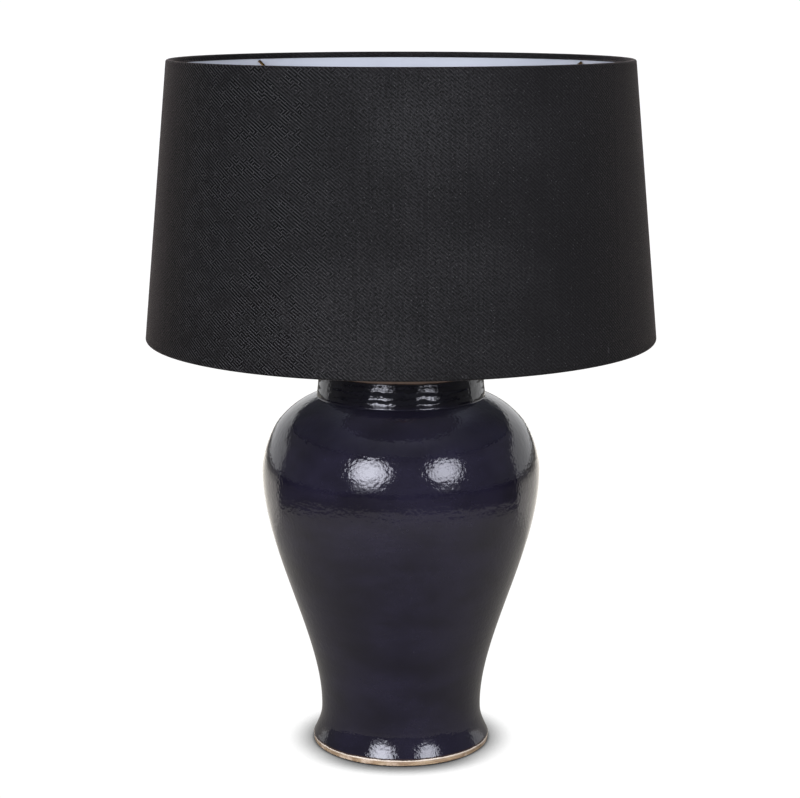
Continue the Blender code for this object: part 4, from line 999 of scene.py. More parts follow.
def make_saddle():
    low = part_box("harp_saddle")[0]
    half, end = 0.5 * SADDLE_SPAN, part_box("harp_saddle")[1].y
    bevel = 0.0004
    curve = bpy.data.curves.new("saddle_bar", "CURVE")
    curve.dimensions = "2D"
    curve.fill_mode = "BOTH"
    curve.extrude = 0.5 * SADDLE_THICKNESS - bevel
    curve.bevel_depth = bevel
    curve.bevel_resolution = 2
    bar = arc((half, 0.0), end - bevel, -0.5 * math.pi, 0.5 * math.pi, 24)
    bar += arc((-half, 0.0), end - bevel, 0.5 * math.pi, 1.5 * math.pi, 24)
    hole = arc((0.0, 0.0), ROD_HOLE + bevel, 0.0, 2.0 * math.pi, 32)[:-1]
    loops = [[(x, y, 0.0) for x, y in loop] for loop in (bar, hole)]
    flat = curve_mesh(curve, loops, BRASS, closed=True)
    parts = [tidied(lifted(flat, low.z + 0.5 * SADDLE_THICKNESS))]
    shoulder, shoulder_top = PEG_SHOULDER
    root = -0.5 * SADDLE_THICKNESS
    peg = [(0.0, PEG_HEIGHT), (PEG_RADIUS - 0.0006, PEG_HEIGHT), (PEG_RADIUS, PEG_HEIGHT - 0.0008),
           (PEG_RADIUS, shoulder_top), (shoulder - 0.0003, shoulder_top),
           (shoulder, shoulder_top - 0.0003), (shoulder, root), (0.0, root)]
    for x in (-half, half):
        mesh = turned("saddle_peg", eased(peg, 0.0003), 48, BRASS)
        mesh.transform(Matrix.Translation((x, 0.0, low.z + SADDLE_THICKNESS)))
        parts.append(mesh)
    show("pressed_saddle", merged("pressed_saddle", parts), "stand", "aged_brass", "harp_saddle")


def make_harp():
    low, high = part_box("harp_wire")
    half_span, half_width, top = 0.5 * SADDLE_SPAN, 0.5 * HARP_WIDTH, high.z - HARP_WIRE_RADIUS
    foot = (half_span, low.z)
    straight = (half_span, low.z + FERRULE_LENGTH + FERRULE_TRAVEL - 0.0080)
    rise = top - straight[1]
    widest = (half_width, straight[1] + 0.42 * rise)
    crown = (STUD_SEAT[0], top)
    side = [foot, straight]
    side += bezier(straight, (half_span, straight[1] + 0.18 * rise),
                   (half_width, widest[1] - 0.20 * rise), widest, 24)
    side += bezier(widest, (half_width, widest[1] + 0.38 * rise),
                   (crown[0] + 0.45 * half_width, top), crown, 30)
    path = side + [(-x, z) for x, z in side[::-1]]
    mesh = bent_wire("bent_harp", [(x, 0.0, z) for x, z in path], HARP_WIRE_RADIUS, BRASS)
    show("bent_harp", mesh, "stand", "aged_brass", "harp_wire")


def make_ferrules():
    for side in ("left", "right"):
        low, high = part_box("harp_ferrule_" + side)
        middle, wide, tall = 0.5 * (low + high), 0.5 * (high.y - low.y), high.z - low.z
        bore = PEG_RADIUS + 0.0003
        start = (bore, 0.5 * tall)
        outline = [start, (bore, tall), (wide - 0.0005, tall), (wide - 0.0003, tall - 0.0006),
                   (wide - 0.0003, 0.0026), (wide, 0.0022), (wide, 0.0004),
                   (wide - 0.0004, 0.0), (bore, 0.0), start]
        mesh = turned("ferrule_" + side, eased(outline, 0.0002), 56, BRASS)
        mesh.transform(Matrix.Translation((middle.x, 0.0, low.z)))
        show("drawn_ferrule_" + side, mesh, "ferrule_" + side, "aged_brass", "harp_ferrule_" + side)


def make_stud():
    low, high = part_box("harp_stud")
    tall = high.z - low.z
    seat_radius, seat = STUD_SEAT
    outline = [(0.0, tall), (STUD_RADIUS - 0.0006, tall), (STUD_RADIUS, tall - 0.0006),
               (STUD_RADIUS, seat), (seat_radius - 0.0003, seat), (seat_radius, seat - 0.0004),
               (seat_radius, 0.0004), (seat_radius - 0.0006, 0.0), (0.0, 0.0)]
    turned_piece("shade_stud", eased(outline, 0.0002), 64, BRASS, low.z,
                 "stand", "aged_brass", "harp_stud")


make_saddle()
make_harp()
make_ferrules()
make_stud()


# ---- Lamp holder ----
# A brass cap is screwed to the rod, and a thin brass shell with a card liner snaps into it
# round the moulded core. Inside are the screw shell and the centre contact for the bulb.

BRIGHT_BRASS = worn_material("bright_contact_brass", (0.78, 0.56, 0.24), (0.55, 0.36, 0.14),
                             roughness=(0.15, 0.35), metallic=1.0, patches=200.0, grains=1800.0,
                             depth=0.00002)
PHENOLIC = worn_material("moulded_phenolic", (0.012, 0.011, 0.010), (0.030, 0.026, 0.022),
                         roughness=(0.22, 0.42), metallic=0.0, patches=140.0, grains=900.0,
                         depth=0.00002)
CARD = worn_material("insulating_card", (0.42, 0.31, 0.20), (0.27, 0.19, 0.115),
                     roughness=(0.75, 0.92), metallic=0.0, patches=180.0, grains=1600.0,
                     depth=0.00008)
HOLDER_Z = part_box("socket_cap")[0].z
HOLDER_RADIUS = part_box("socket_cap")[1].y
SHELL_RADIUS = 0.0175
SHELL_BORE = 0.0169
THREAD_PITCH = 0.0036
THREAD_DEPTH = 0.0007
THREAD = {"Ridges Round": 1.0, "Turns per Metre": 1.0 / THREAD_PITCH, "Depth": THREAD_DEPTH}


def make_ridge_tree():
    """Presses ridges into a turned wall: a ring of flutes, or one thread that climbs it."""
    tree, given, out = geometry_tree("pressed_ridges", (
        ("Ridges Round", "Float"), ("Turns per Metre", "Float"), ("Depth", "Float"),
        ("From", "Float"), ("To", "Float"), ("Fade", "Float"), ("Inner Radius", "Float")))
    x, y, z = axes_of(tree, tree.nodes.new("GeometryNodeInputPosition").outputs[0])
    climb = times(tree, times(tree, z, given["Turns per Metre"]), 2.0 * math.pi)
    round_it = times(tree, calc(tree, "ARCTAN2", y, x), given["Ridges Round"])
    wave = calc(tree, "SINE", minus(tree, round_it, climb))
    cut = times(tree, minus(tree, times(tree, wave, 0.5), 0.5), given["Depth"])
    start = ramp(tree, z, given["From"], plus(tree, given["From"], given["Fade"]))
    end = ramp(tree, z, given["To"], minus(tree, given["To"], given["Fade"]))
    radius = from_axis(tree, x, y)
    outside = calc(tree, "GREATER_THAN", radius, given["Inner Radius"])
    masked = times(tree, times(tree, start, end), outside)
    push = calc(tree, "DIVIDE", times(tree, cut, masked), calc(tree, "MAXIMUM", radius, 0.0001))
    offset = geometry_node(tree, "ShaderNodeCombineXYZ", [
        ("X", times(tree, x, push)), ("Y", times(tree, y, push))])
    moved = geometry_node(tree, "GeometryNodeSetPosition", [
        ("Geometry", given["Geometry"]), ("Offset", offset.outputs[0])])
    real = geometry_node(tree, "GeometryNodeRealizeInstances", [("Geometry", moved.outputs[0])])
    feed(tree, real.outputs[0], out["Geometry"])
    return tree


RIDGES = make_ridge_tree()


def finely(outline, step):
    """An outline with extra points, so that no straight run is longer than a step."""
    fine = [outline[0]]
    for start, end in zip(outline, outline[1:]):
        count = max(1, math.ceil((Vector(end) - Vector(start)).length / step))
        for part in range(1, count + 1):
            t = part / count
            fine.append((start[0] + (end[0] - start[0]) * t, start[1] + (end[1] - start[1]) * t))
    return fine


def make_holder():
    cap_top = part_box("socket_cap")[1].z - HOLDER_Z
    hub, hub_top, metal = 0.0078, 0.0060, 0.0008
    bore = HOLDER_RADIUS - metal
    dome = bezier((HOLDER_RADIUS, hub_top + 0.0062), (HOLDER_RADIUS, hub_top + 0.0030),
                  (0.80 * HOLDER_RADIUS, hub_top + 0.0004), (hub, hub_top), 12)
    under = bezier((hub, hub_top + metal), (0.76 * HOLDER_RADIUS, hub_top + 0.0014),
                   (bore, hub_top + 0.0034), (bore, hub_top + 0.0070), 10)
    cap = [(bore, cap_top), (HOLDER_RADIUS - 0.0002, cap_top), (HOLDER_RADIUS, cap_top - 0.0003),
           (HOLDER_RADIUS, hub_top + 0.0062)] + dome
    cap += [(hub, 0.0003), (hub - 0.0003, 0.0), (ROD_HOLE, 0.0), (ROD_HOLE, hub_top + metal)] + under
    cap.append((bore, cap_top))
    turned_piece("holder_cap", cap, 96, BRASS, HOLDER_Z, "stand", "aged_brass", "socket_cap")

    low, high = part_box("socket_shell")
    bottom, top = low.z - HOLDER_Z, high.z - HOLDER_Z
    bead = high.y
    shell = [(SHELL_BORE, bottom), (SHELL_BORE, top - 0.0003), (bead - 0.0004, top),
             (bead, top - 0.0006), (bead, top - 0.0016), (SHELL_RADIUS, top - 0.0030)]
    for ring_z in (top - 0.0075, top - 0.0105):
        shell += [(SHELL_RADIUS, ring_z + 0.0008), (SHELL_RADIUS + 0.00035, ring_z),
                  (SHELL_RADIUS, ring_z - 0.0008)]
    shell += [(SHELL_RADIUS, bottom), (SHELL_BORE, bottom)]
    turned_piece("holder_shell", eased(shell, 0.0005), 96, BRASS, HOLDER_Z,
                 "stand", "aged_brass", "socket_shell")

    low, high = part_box("socket_liner")
    outline = washer_outline(high.y, high.y - 0.0010, high.z - low.z, 0.0002)
    turned_piece("card_liner", outline, 80, CARD, low.z, "stand", "insulating_card", "socket_liner")

    low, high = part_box("socket_core")
    wide, tall = high.y, high.z - low.z
    core = [(0.0, tall), (wide, tall), (wide, 0.0), (0.0, 0.0)]
    turned_piece("moulded_core", eased(core, 0.0006), 80, PHENOLIC, low.z,
                 "stand", "black_phenolic", "socket_core")


def make_holder_contacts():
    low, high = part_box("screw_shell")
    outer, tall, metal, floor_hole = high.y, high.z - low.z, 0.0004, 0.0090
    wall = outer + 0.0007
    bore = wall - metal
    profile = [(floor_hole, 0.0), (wall - 0.0006, 0.0), (wall, 0.0006), (wall, tall),
               (bore, tall), (bore, metal + 0.0006), (bore - 0.0006, metal),
               (floor_hole, metal), (floor_hole, 0.0)]
    thread = THREAD | {"From": 0.0015, "To": tall - 0.0010, "Fade": 0.0015,
                       "Inner Radius": 0.0120}
    mesh = turned("rolled_screw_shell", finely(profile, 0.0006), 96, BRIGHT_BRASS,
                  [(RIDGES, thread)])
    show("rolled_screw_shell", lifted(mesh, low.z), "stand", "bright_brass", "screw_shell")

    low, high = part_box("centre_contact")
    top = high.z - low.z
    tongue = [(0.0, top), (0.0030, top - 0.0002), (0.0055, 0.0006), (0.0070, 0.0006),
              (0.0070, 0.0), (0.0, 0.0)]
    turned_piece("sprung_contact", eased(tongue, 0.0003), 48, BRIGHT_BRASS, low.z,
                 "stand", "bright_brass", "centre_contact")


make_holder()
make_holder_contacts()
for node in ("terminal_screw_left", "terminal_screw_right"):
    refinished(node, BRIGHT_BRASS)


# ---- Turn switch ----
# A brass stem comes out of the front of the holder. The knob on it is moulded with a ring
# of flutes for the fingers.

KNOB_FLUTES = 24
KNOB_FLUTE_DEPTH = 0.0007


def make_switch():
    low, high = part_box("switch_knob")
    wide, tall = high.x, high.y - low.y
    axis_z = 0.5 * (low.z + high.z)
    outward = Matrix.Rotation(0.5 * math.pi, 4, "X")
    bore, stem_low = 0.0023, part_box("switch_stem")[0]
    stem_end = tall - (stem_low.y - low.y)
    well = stem_end + 0.0003
    knob = [(0.0, tall - 0.0004), (0.45 * wide, tall - 0.0004), (0.52 * wide, tall),
            (0.74 * wide, tall - 0.0002), (wide, tall - 0.0028), (wide, 0.0045),
            (0.60 * wide, 0.0), (bore, 0.0), (bore, well), (0.0, well)]
    flutes = {"Ridges Round": float(KNOB_FLUTES), "Turns per Metre": 0.0, "Depth": KNOB_FLUTE_DEPTH,
              "From": 0.0030, "To": tall - 0.0010, "Fade": 0.0020, "Inner Radius": 0.60 * wide}
    profile = finely(eased(knob, 0.0006), 0.0012)
    mesh = turned("fluted_knob", profile, 8 * KNOB_FLUTES, PHENOLIC, [(RIDGES, flutes)])
    mesh.transform(Matrix.Translation((0.0, high.y, axis_z)) @ outward)
    show("fluted_knob", mesh, "switch", "black_phenolic", "switch_knob")

    low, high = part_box("switch_stem")
    length, radius = high.y - low.y, high.x
    stem = eased([(0.0, length), (radius, length), (radius, 0.0), (0.0, 0.0)], 0.0003)
    mesh = turned("turned_stem", stem, 40, BRIGHT_BRASS)
    mesh.transform(Matrix.Translation((0.0, high.y, axis_z)) @ outward)
    show("turned_stem", mesh, "switch", "bright_brass", "switch_stem")


make_switch()


# ---- Bulb ----
# An opal glass bulb is cemented into an aluminium screw cap with a rolled thread. A black
# glass insulator and a solder contact close the cap below.

ALUMINIUM = worn_material("rolled_aluminium", (0.74, 0.74, 0.75), (0.55, 0.55, 0.56),
                          roughness=(0.20, 0.40), metallic=1.0, patches=220.0, grains=1500.0,
                          depth=0.00002)
TUNGSTEN = worn_material("tungsten_wire", (0.25, 0.25, 0.26), (0.16, 0.16, 0.17),
                         roughness=(0.40, 0.60), metallic=1.0, patches=300.0, grains=3000.0,
                         depth=0.00001)
BULB_GLASS = 0.0008
BULB_RADIUS = 0.0300
BULB_CAP_RADIUS = 0.0130
BULB_CAP_METAL = 0.0004


def make_opal_glass():
    """White-coated glass, creamier in soft clouds, with a soft gloss."""
    material, tree, shader = start_material("opal_coated_glass")
    spot = surface(tree)
    clouds = ramp(tree, noise(tree, spot, 35.0, 3.0), 0.3, 0.7)
    opal = blend_colours(tree, clouds, (0.86, 0.86, 0.84), (0.80, 0.80, 0.77))
    feed(tree, opal, shader.inputs["Base Color"])
    feed(tree, ramp(tree, clouds, 0.0, 1.0, 0.16, 0.26), shader.inputs["Roughness"])
    shader.inputs["Coat Weight"].default_value = 0.5
    shader.inputs["Coat Roughness"].default_value = 0.05
    bumped(tree, shader, noise(tree, spot, 900.0, 1.0), 0.00001)
    return material


def make_clear_glass():
    """Pressed clear glass with a few draw lines along it."""
    material, tree, shader = start_material("pressed_clear_glass")
    spot = surface(tree)
    lines = noise(tree, spot, 400.0, 2.0, 0.5, (1.0, 1.0, 0.1))
    clear = blend_colours(tree, lines, (0.90, 0.93, 0.93), (0.80, 0.85, 0.85))
    feed(tree, clear, shader.inputs["Base Color"])
    feed(tree, ramp(tree, lines, 0.3, 0.7, 0.03, 0.09), shader.inputs["Roughness"])
    shader.inputs["Transmission Weight"].default_value = 1.0
    bumped(tree, shader, lines, 0.00003)
    return material


def make_bulb():
    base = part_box("bulb_contact")[0].z
    contact_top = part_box("bulb_contact")[1].z - base
    contact = [(0.0, contact_top), (0.0045, contact_top), (0.0042, 0.5 * contact_top),
               (0.0028, 0.0003), (0.0, 0.0)]
    turned_piece("solder_contact", eased(contact, 0.0006), 40, BRIGHT_BRASS, base,
                 "bulb", "bright_brass", "bulb_contact")

    low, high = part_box("bulb_insulator")
    tall = high.z - low.z
    insulator = [(0.0, tall), (high.x, tall), (0.0060, 0.0), (0.0, 0.0)]
    turned_piece("black_glass_insulator", eased(insulator, 0.0006), 56, PHENOLIC, low.z,
                 "bulb", "black_phenolic", "bulb_insulator")

    low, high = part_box("bulb_screw_cap")
    tall, wide, bore = high.z - low.z, BULB_CAP_RADIUS, BULB_CAP_RADIUS - BULB_CAP_METAL
    cap = [(bore, tall), (wide, tall), (wide, 0.0022), (0.85 * wide, 0.0), (0.60 * wide, 0.0),
           (0.60 * wide, BULB_CAP_METAL), (0.82 * wide, BULB_CAP_METAL), (bore, 0.0026),
           (bore, tall)]
    thread = THREAD | {"From": 0.0022, "To": tall - 0.0040, "Fade": 0.0020,
                       "Inner Radius": 0.0110}
    mesh = turned("rolled_bulb_cap", finely(eased(cap, 0.0003), 0.0006), 96, ALUMINIUM,
                  [(RIDGES, thread)])
    show("rolled_bulb_cap", lifted(mesh, low.z), "bulb", "bulb_aluminium", "bulb_screw_cap")

    low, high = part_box("bulb_glass")
    top, neck_z = high.z - base, low.z - base
    neck, ball_z = bore - 0.0003 - THREAD_DEPTH, top - BULB_RADIUS
    neck_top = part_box("bulb_screw_cap")[1].z - base + 0.0040
    ball = arc((0.0, ball_z), BULB_RADIUS, 0.5 * math.pi, math.radians(-20.0), 30)
    ball[0] = (0.0, top)
    joint = ball[-1]
    flank = bezier(joint, (joint[0] - 0.0036, joint[1] - 0.0100), (neck, neck_top + 0.0100),
                   (neck, neck_top), 18)
    outer = ball + flank + [(neck, neck_z)]
    inner = [(max(r - BULB_GLASS, 0.0), z - BULB_GLASS * max(0.0, (z - ball_z) / BULB_RADIUS))
             for r, z in outer]
    glass = outer + inner[:0:-1] + [(0.0, top - BULB_GLASS)]
    turned_piece("opal_bulb", glass, 96, make_opal_glass(), base,
                 "bulb", "opal_glass", "bulb_glass")


make_bulb()
refinished("bulb_stem", make_clear_glass())
refinished("bulb_filament", TUNGSTEN)


# ---- Spider and rings of the shade ----
# Four bent brass-plated wires run from a pierced hub, which drops over the stud, up to the
# top ring. Both steel rings lie inside the rolled edges of the cover.

SHADE_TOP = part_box("shade_cover")[1].z
SHADE_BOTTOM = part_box("shade_cover")[0].z
TOP_RADIUS = 0.2254
BOTTOM_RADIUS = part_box("shade_cover")[1].x
COVER_THICKNESS = 0.0008
LINER_THICKNESS = 0.0005
RING_WIRE_RADIUS = 0.0014
CLEARANCE = 0.0003
SPIDER_WIRE_RADIUS = 0.0015
SPIDER_SLOPE = math.radians(31.0)
SPIDER_BEND_RADIUS = 0.0120
SPIDER_BEARINGS = (-41.5, 56.0, 138.5, 236.0)
ROLL_RADIUS = RING_WIRE_RADIUS + CLEARANCE + 0.5 * COVER_THICKNESS
WALL_LEAN = math.atan2(BOTTOM_RADIUS - TOP_RADIUS, SHADE_TOP - SHADE_BOTTOM)
RING_REACH = ROLL_RADIUS + 0.5 * COVER_THICKNESS
TOP_RING = (TOP_RADIUS - RING_REACH, SHADE_TOP - RING_REACH)
BOTTOM_RING = (BOTTOM_RADIUS - RING_REACH, SHADE_BOTTOM + RING_REACH)
SHADE_STEPS = 320


def make_rings():
    for name, centre in (("top_ring", TOP_RING), ("bottom_ring", BOTTOM_RING)):
        outline = arc(centre, RING_WIRE_RADIUS, 0.0, 2.0 * math.pi, 12)
        mesh = turned(name + "_wire", outline, SHADE_STEPS, STEEL)
        show(name + "_wire", mesh, "shade", "zinc_steel", name)


def make_spider():
    low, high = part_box("spider_hub")
    middle, hub, thickness = 0.5 * (low.z + high.z), high.x, high.z - low.z
    outline = washer_outline(hub, STUD_RADIUS + CLEARANCE, thickness, 0.0005)
    turned_piece("pierced_hub", outline, 80, BRASS, low.z, "shade", "aged_brass", "spider_hub")

    hem_depth = 2.0 * ROLL_RADIUS + COVER_THICKNESS + RING_WIRE_RADIUS
    leg = COVER_THICKNESS + LINER_THICKNESS + 2.0 * CLEARANCE
    tip = (TOP_RADIUS - leg - SPIDER_WIRE_RADIUS,
           SHADE_TOP - hem_depth - SPIDER_WIRE_RADIUS - CLEARANCE)
    bend_x = tip[0] - (tip[1] - middle) / math.tan(SPIDER_SLOPE)
    tangent = SPIDER_BEND_RADIUS * math.tan(0.5 * SPIDER_SLOPE)
    bend = arc((bend_x - tangent, middle + SPIDER_BEND_RADIUS), SPIDER_BEND_RADIUS, -0.5 * math.pi,
               SPIDER_SLOPE - 0.5 * math.pi, 10)
    path = [(hub + CLEARANCE, middle)] + bend + [tip]
    for number, bearing in enumerate(SPIDER_BEARINGS, start=1):
        turn = math.radians(90.0 - bearing)
        points = [(r * math.cos(turn), r * math.sin(turn), z) for r, z in path]
        name = "bent_arm_%d" % number
        mesh = bent_wire(name, points, SPIDER_WIRE_RADIUS, BRASS)
        show(name, mesh, "shade", "aged_brass", "spider_arm_%d" % number)


make_rings()
make_spider()


# ---- Shade cover ----
# One cut of charcoal slub cloth, backed, is wrapped round the two rings. Its edges are
# rolled over the wires and down behind them, and its ends are lapped and glued at the back.

HEM_TURN = math.radians(225.0)
LEG_OFFSET = COVER_THICKNESS + LINER_THICKNESS + 2.0 * CLEARANCE
WEFT_PITCH = 0.00080
WARP_PITCH = 0.00104
# The darkest and lightest cloth tones paint shade into the gaps between threads and highlight onto the
# thread crowns.
CLOTH_SHADED_DARK = (0.0034, 0.0033, 0.0034)
CLOTH_MID = (0.0152, 0.0148, 0.0152)
CLOTH_LIT_CROWN = (0.0360, 0.0352, 0.0360)
# Painted highlight on the thread crowns in the open weave.
CLOTH_HATCH_LIT = (0.060, 0.059, 0.061)
# A flat, darker tone for the right of the front: an evener weave, darkened as painted shade.
CLOTH_EVEN_SHADED = (0.0098, 0.0095, 0.0098)
# Painted shade in the gaps between threads in the open weave.
CLOTH_GAP_SHADE = (0.0006, 0.0006, 0.0006)
CLOTH_FLECK = (0.080, 0.078, 0.080)
OPEN_WEAVE = (-0.27, -0.20, -0.13, -0.02)
# Where, and how strongly, the right of the front is evened and darkened with painted shade.
CLOSE_WEAVE_SHADE_SPAN = (0.00, 0.22)
CLOSE_WEAVE_SHADE_SHARE = 0.72
# Where, and how strongly, the left of the front is darkened with painted shade.
DEEP_SHADE_SPAN = (-0.08, -0.22)
DEEP_SHADE_SHARE = 0.70
# The span round the front within which the painted shade is laid.
FRONT_SHADE_SPAN = (0.46, 0.62)
SCUFF = (0.1885, -0.1626, BOTTOM_RING[1] + 0.0110)
SCUFF_STRETCH = (1.0, 1.0, 0.28)
SCUFF_EDGE = (0.0020, 0.0006)
CLOTH_SCUFF = (0.060, 0.059, 0.060)
LAP_WIDTH = 0.0100


def half_wave(tree, value):
    """The sine of a number of half turns."""
    return calc(tree, "SINE", times(tree, value, math.pi))


def white_noise(tree, x, y):
    """A random number from 0 to 1 that is the same all over each pair of whole numbers."""
    made = tree.nodes.new("ShaderNodeTexWhiteNoise")
    made.noise_dimensions = "2D"
    pair = tree.nodes.new("ShaderNodeCombineXYZ")
    feed(tree, x, pair.inputs[0])
    feed(tree, y, pair.inputs[1])
    feed(tree, pair.outputs[0], made.inputs["Vector"])
    return made.outputs["Value"]


def make_weave_group():
    """A broken two-and-two twill on a vector in metres: threads' relief, shades and slubs."""
    group = bpy.data.node_groups.new("twill_weave", "ShaderNodeTree")
    face = group.interface
    face.new_socket("Vector", in_out="INPUT", socket_type="NodeSocketVector")
    for label in ("Warp Threads", "Weft Threads"):
        face.new_socket(label, in_out="INPUT", socket_type="NodeSocketFloat")
    for label in ("Relief", "Thread Shade", "Slubs", "Flecks"):
        face.new_socket(label, in_out="OUTPUT", socket_type="NodeSocketFloat")
    given = group.nodes.new("NodeGroupInput").outputs
    out = group.nodes.new("NodeGroupOutput").inputs
    crosswise, lengthwise, _ = axes_of(group, given["Vector"])
    wobble = minus(group, noise(group, given["Vector"], 90.0, 2.0), 0.5)
    broken = calc(group, "GREATER_THAN", noise(group, given["Vector"], 170.0, 1.0), 0.60)
    way = minus(group, 1.0, times(group, broken, 2.0))
    u = plus(group, times(group, crosswise, given["Warp Threads"]), times(group, wobble, 0.9))
    v = times(group, way, plus(group, times(group, lengthwise, given["Weft Threads"]),
                               times(group, wobble, 0.7)))
    warp, weft = calc(group, "FLOOR", u), calc(group, "FLOOR", v)
    step = calc(group, "FLOORED_MODULO", plus(group, warp, weft), 4.0)
    warp_up = calc(group, "LESS_THAN", step, 1.5)
    warp_round = half_wave(group, calc(group, "FRACT", u))
    weft_round = half_wave(group, calc(group, "FRACT", v))
    along_warp = times(group, calc(group, "FLOORED_MODULO", plus(group, warp, v), 4.0), 0.5)
    passed = times(group, calc(group, "FLOORED_MODULO", plus(group, u, weft), 4.0), 0.5)
    along_weft = minus(group, passed, 1.0)
    warp_arch = plus(group, times(group, half_wave(group, along_warp), 0.6), 0.4)
    weft_arch = plus(group, times(group, half_wave(group, along_weft), 0.6), 0.4)
    warp_high = times(group, warp_round, warp_arch)
    weft_low = times(group, times(group, weft_round, weft_arch), 0.55)
    relief = mix(group, warp_up, weft_low, warp_high)
    feed(group, relief, out["Relief"])
    shades = [white_noise(group, thread, seed) for seed, thread in ((3.0, warp), (11.0, weft))]
    feed(group, mix(group, warp_up, shades[1], shades[0]), out["Thread Shade"])
    upright = noise(group, given["Vector"], 26.0, 4.0, 0.7, (34.0, 1.0, 1.0))
    level = noise(group, given["Vector"], 26.0, 4.0, 0.7, (1.0, 34.0, 1.0))
    feed(group, times(group, plus(group, upright, level), 0.5), out["Slubs"])
    feed(group, calc(group, "GREATER_THAN", white_noise(group, warp, weft), 0.992), out["Flecks"])
    return group


def vector_node(tree, operation, first, second=None):
    """The result of a Vector Math node."""
    made = tree.nodes.new("ShaderNodeVectorMath")
    made.operation = operation
    feed(tree, first, made.inputs[0])
    if second is not None:
        feed(tree, second, made.inputs[1])
    return made.outputs["Value" if operation == "LENGTH" else "Vector"]


def make_cloth():
    """Charcoal cloth with pale flecks, thick and thin threads, painted shade and highlight on its
    weave and across its front, and a dusty sheen at its edges.
    """
    material, tree, shader = start_material("charcoal_slub_cloth")
    spot = surface(tree, "UV")
    weave = tree.nodes.new("ShaderNodeGroup")
    weave.node_tree = make_weave_group()
    feed(tree, spot, weave.inputs["Vector"])
    weave.inputs["Warp Threads"].default_value = 1.0 / WARP_PITCH
    weave.inputs["Weft Threads"].default_value = 1.0 / WEFT_PITCH
    relief, own, slubs, flecks = weave.outputs
    patches = ramp(tree, noise(tree, spot, 9.0, 3.0), 0.35, 0.65, 0.75, 1.15)
    height = times(tree, relief, ramp(tree, own, 0.0, 1.0, 0.84, 1.08))
    mottle = ramp(tree, noise(tree, spot, 420.0, 1.0), 0.3, 0.7, -0.16, 0.16)
    uneven = plus(tree, mottle, ramp(tree, slubs, 0.38, 0.62, -0.06, 0.06))
    lit = times(tree, plus(tree, height, uneven), patches)
    # The threads' colour follows their relief: painted shade in the gaps and painted highlight on the
    # crowns, over random patches, mottle and slubs.
    lower = blend_colours(tree, ramp(tree, lit, 0.10, 0.50), CLOTH_SHADED_DARK, CLOTH_MID)
    upper = blend_colours(tree, ramp(tree, lit, 0.45, 1.00), lower, CLOTH_LIT_CROWN)

    sideways = axes_of(tree, spot)[0]
    aside = calc(tree, "ABSOLUTE", sideways)
    # The painted shade on the cloth's front, left and right, fades out towards its sides.
    in_front = ramp(tree, aside, FRONT_SHADE_SPAN[1], FRONT_SHADE_SPAN[0])
    # To the right of the front the cloth is evened and darkened: a closer weave, with painted shade
    # for the darker tone.
    close_shaded_part = times(tree, in_front, ramp(tree, sideways, *CLOSE_WEAVE_SHADE_SPAN, 0.0, CLOSE_WEAVE_SHADE_SHARE))
    evened_shaded = blend_colours(tree, close_shaded_part, upper, CLOTH_EVEN_SHADED)
    # To the left of the front the cloth is darkened towards its darkest tone: painted shade.
    left_shade_part = times(tree, in_front, ramp(tree, sideways, *DEEP_SHADE_SPAN, 0.0, DEEP_SHADE_SHARE))
    shade_deepened = blend_colours(tree, left_shade_part, evened_shaded, CLOTH_SHADED_DARK)
    open_part = times(tree, ramp(tree, sideways, OPEN_WEAVE[0], OPEN_WEAVE[1]),
                      ramp(tree, sideways, OPEN_WEAVE[3], OPEN_WEAVE[2]))
    broken = ramp(tree, noise(tree, spot, 60.0, 2.0), 0.38, 0.58, 0.25, 1.0)
    # In the open weave the gaps get painted shade and the crowns painted highlight.
    hatch = blend_colours(tree, ramp(tree, relief, 0.46, 0.74), CLOTH_GAP_SHADE, CLOTH_HATCH_LIT)
    mixed = blend_colours(tree, times(tree, open_part, broken), shade_deepened, hatch)
    speck = times(tree, flecks, times(tree, relief, 0.9))
    flecked = blend_colours(tree, speck, mixed, CLOTH_FLECK)

    apart = vector_node(tree, "SUBTRACT", surface(tree), SCUFF)
    squeezed = vector_node(tree, "MULTIPLY", apart, SCUFF_STRETCH)
    distance = vector_node(tree, "LENGTH", squeezed)
    frayed = plus(tree, distance, ramp(tree, lit, 0.2, 0.9, 0.0010, -0.0004))
    scuffed = ramp(tree, frayed, *SCUFF_EDGE, 0.0, 0.8)
    feed(tree, blend_colours(tree, scuffed, flecked, CLOTH_SCUFF), shader.inputs["Base Color"])
    feed(tree, ramp(tree, relief, 0.0, 1.0, 0.92, 0.72), shader.inputs["Roughness"])
    shader.inputs["Specular IOR Level"].default_value = 0.12
    shader.inputs["Sheen Weight"].default_value = 0.12
    shader.inputs["Sheen Roughness"].default_value = 0.22
    shader.inputs["Sheen Tint"].default_value = (1.0, 0.82, 0.77, 1.0)
    bumped(tree, shader, height, 0.00022)
    return material


CLOTH = make_cloth()


def wall_point(centre):
    """Where the cloth's middle surface leaves the roll round a ring."""
    return (centre[0] + ROLL_RADIUS * math.cos(WALL_LEAN),
            centre[1] + ROLL_RADIUS * math.sin(WALL_LEAN))


def rolled_edge(centre, turn):
    """The cloth from the wall round a ring's wire and down to the lining: turn is signed."""
    points = arc(centre, ROLL_RADIUS, WALL_LEAN, WALL_LEAN + turn, 16)
    away = ROLL_RADIUS * (1.0 - math.cos(turn))
    slide = (away - LEG_OFFSET) / abs(math.sin(turn))
    heading = WALL_LEAN + turn + math.copysign(0.5 * math.pi, turn)
    last = points[-1]
    points.append((last[0] + slide * math.cos(heading), last[1] + slide * math.sin(heading)))
    return points


def lengths_along(path):
    total, result = 0.0, [0.0]
    for start, end in zip(path, path[1:]):
        total += (Vector(end) - Vector(start)).length
        result.append(total)
    return result


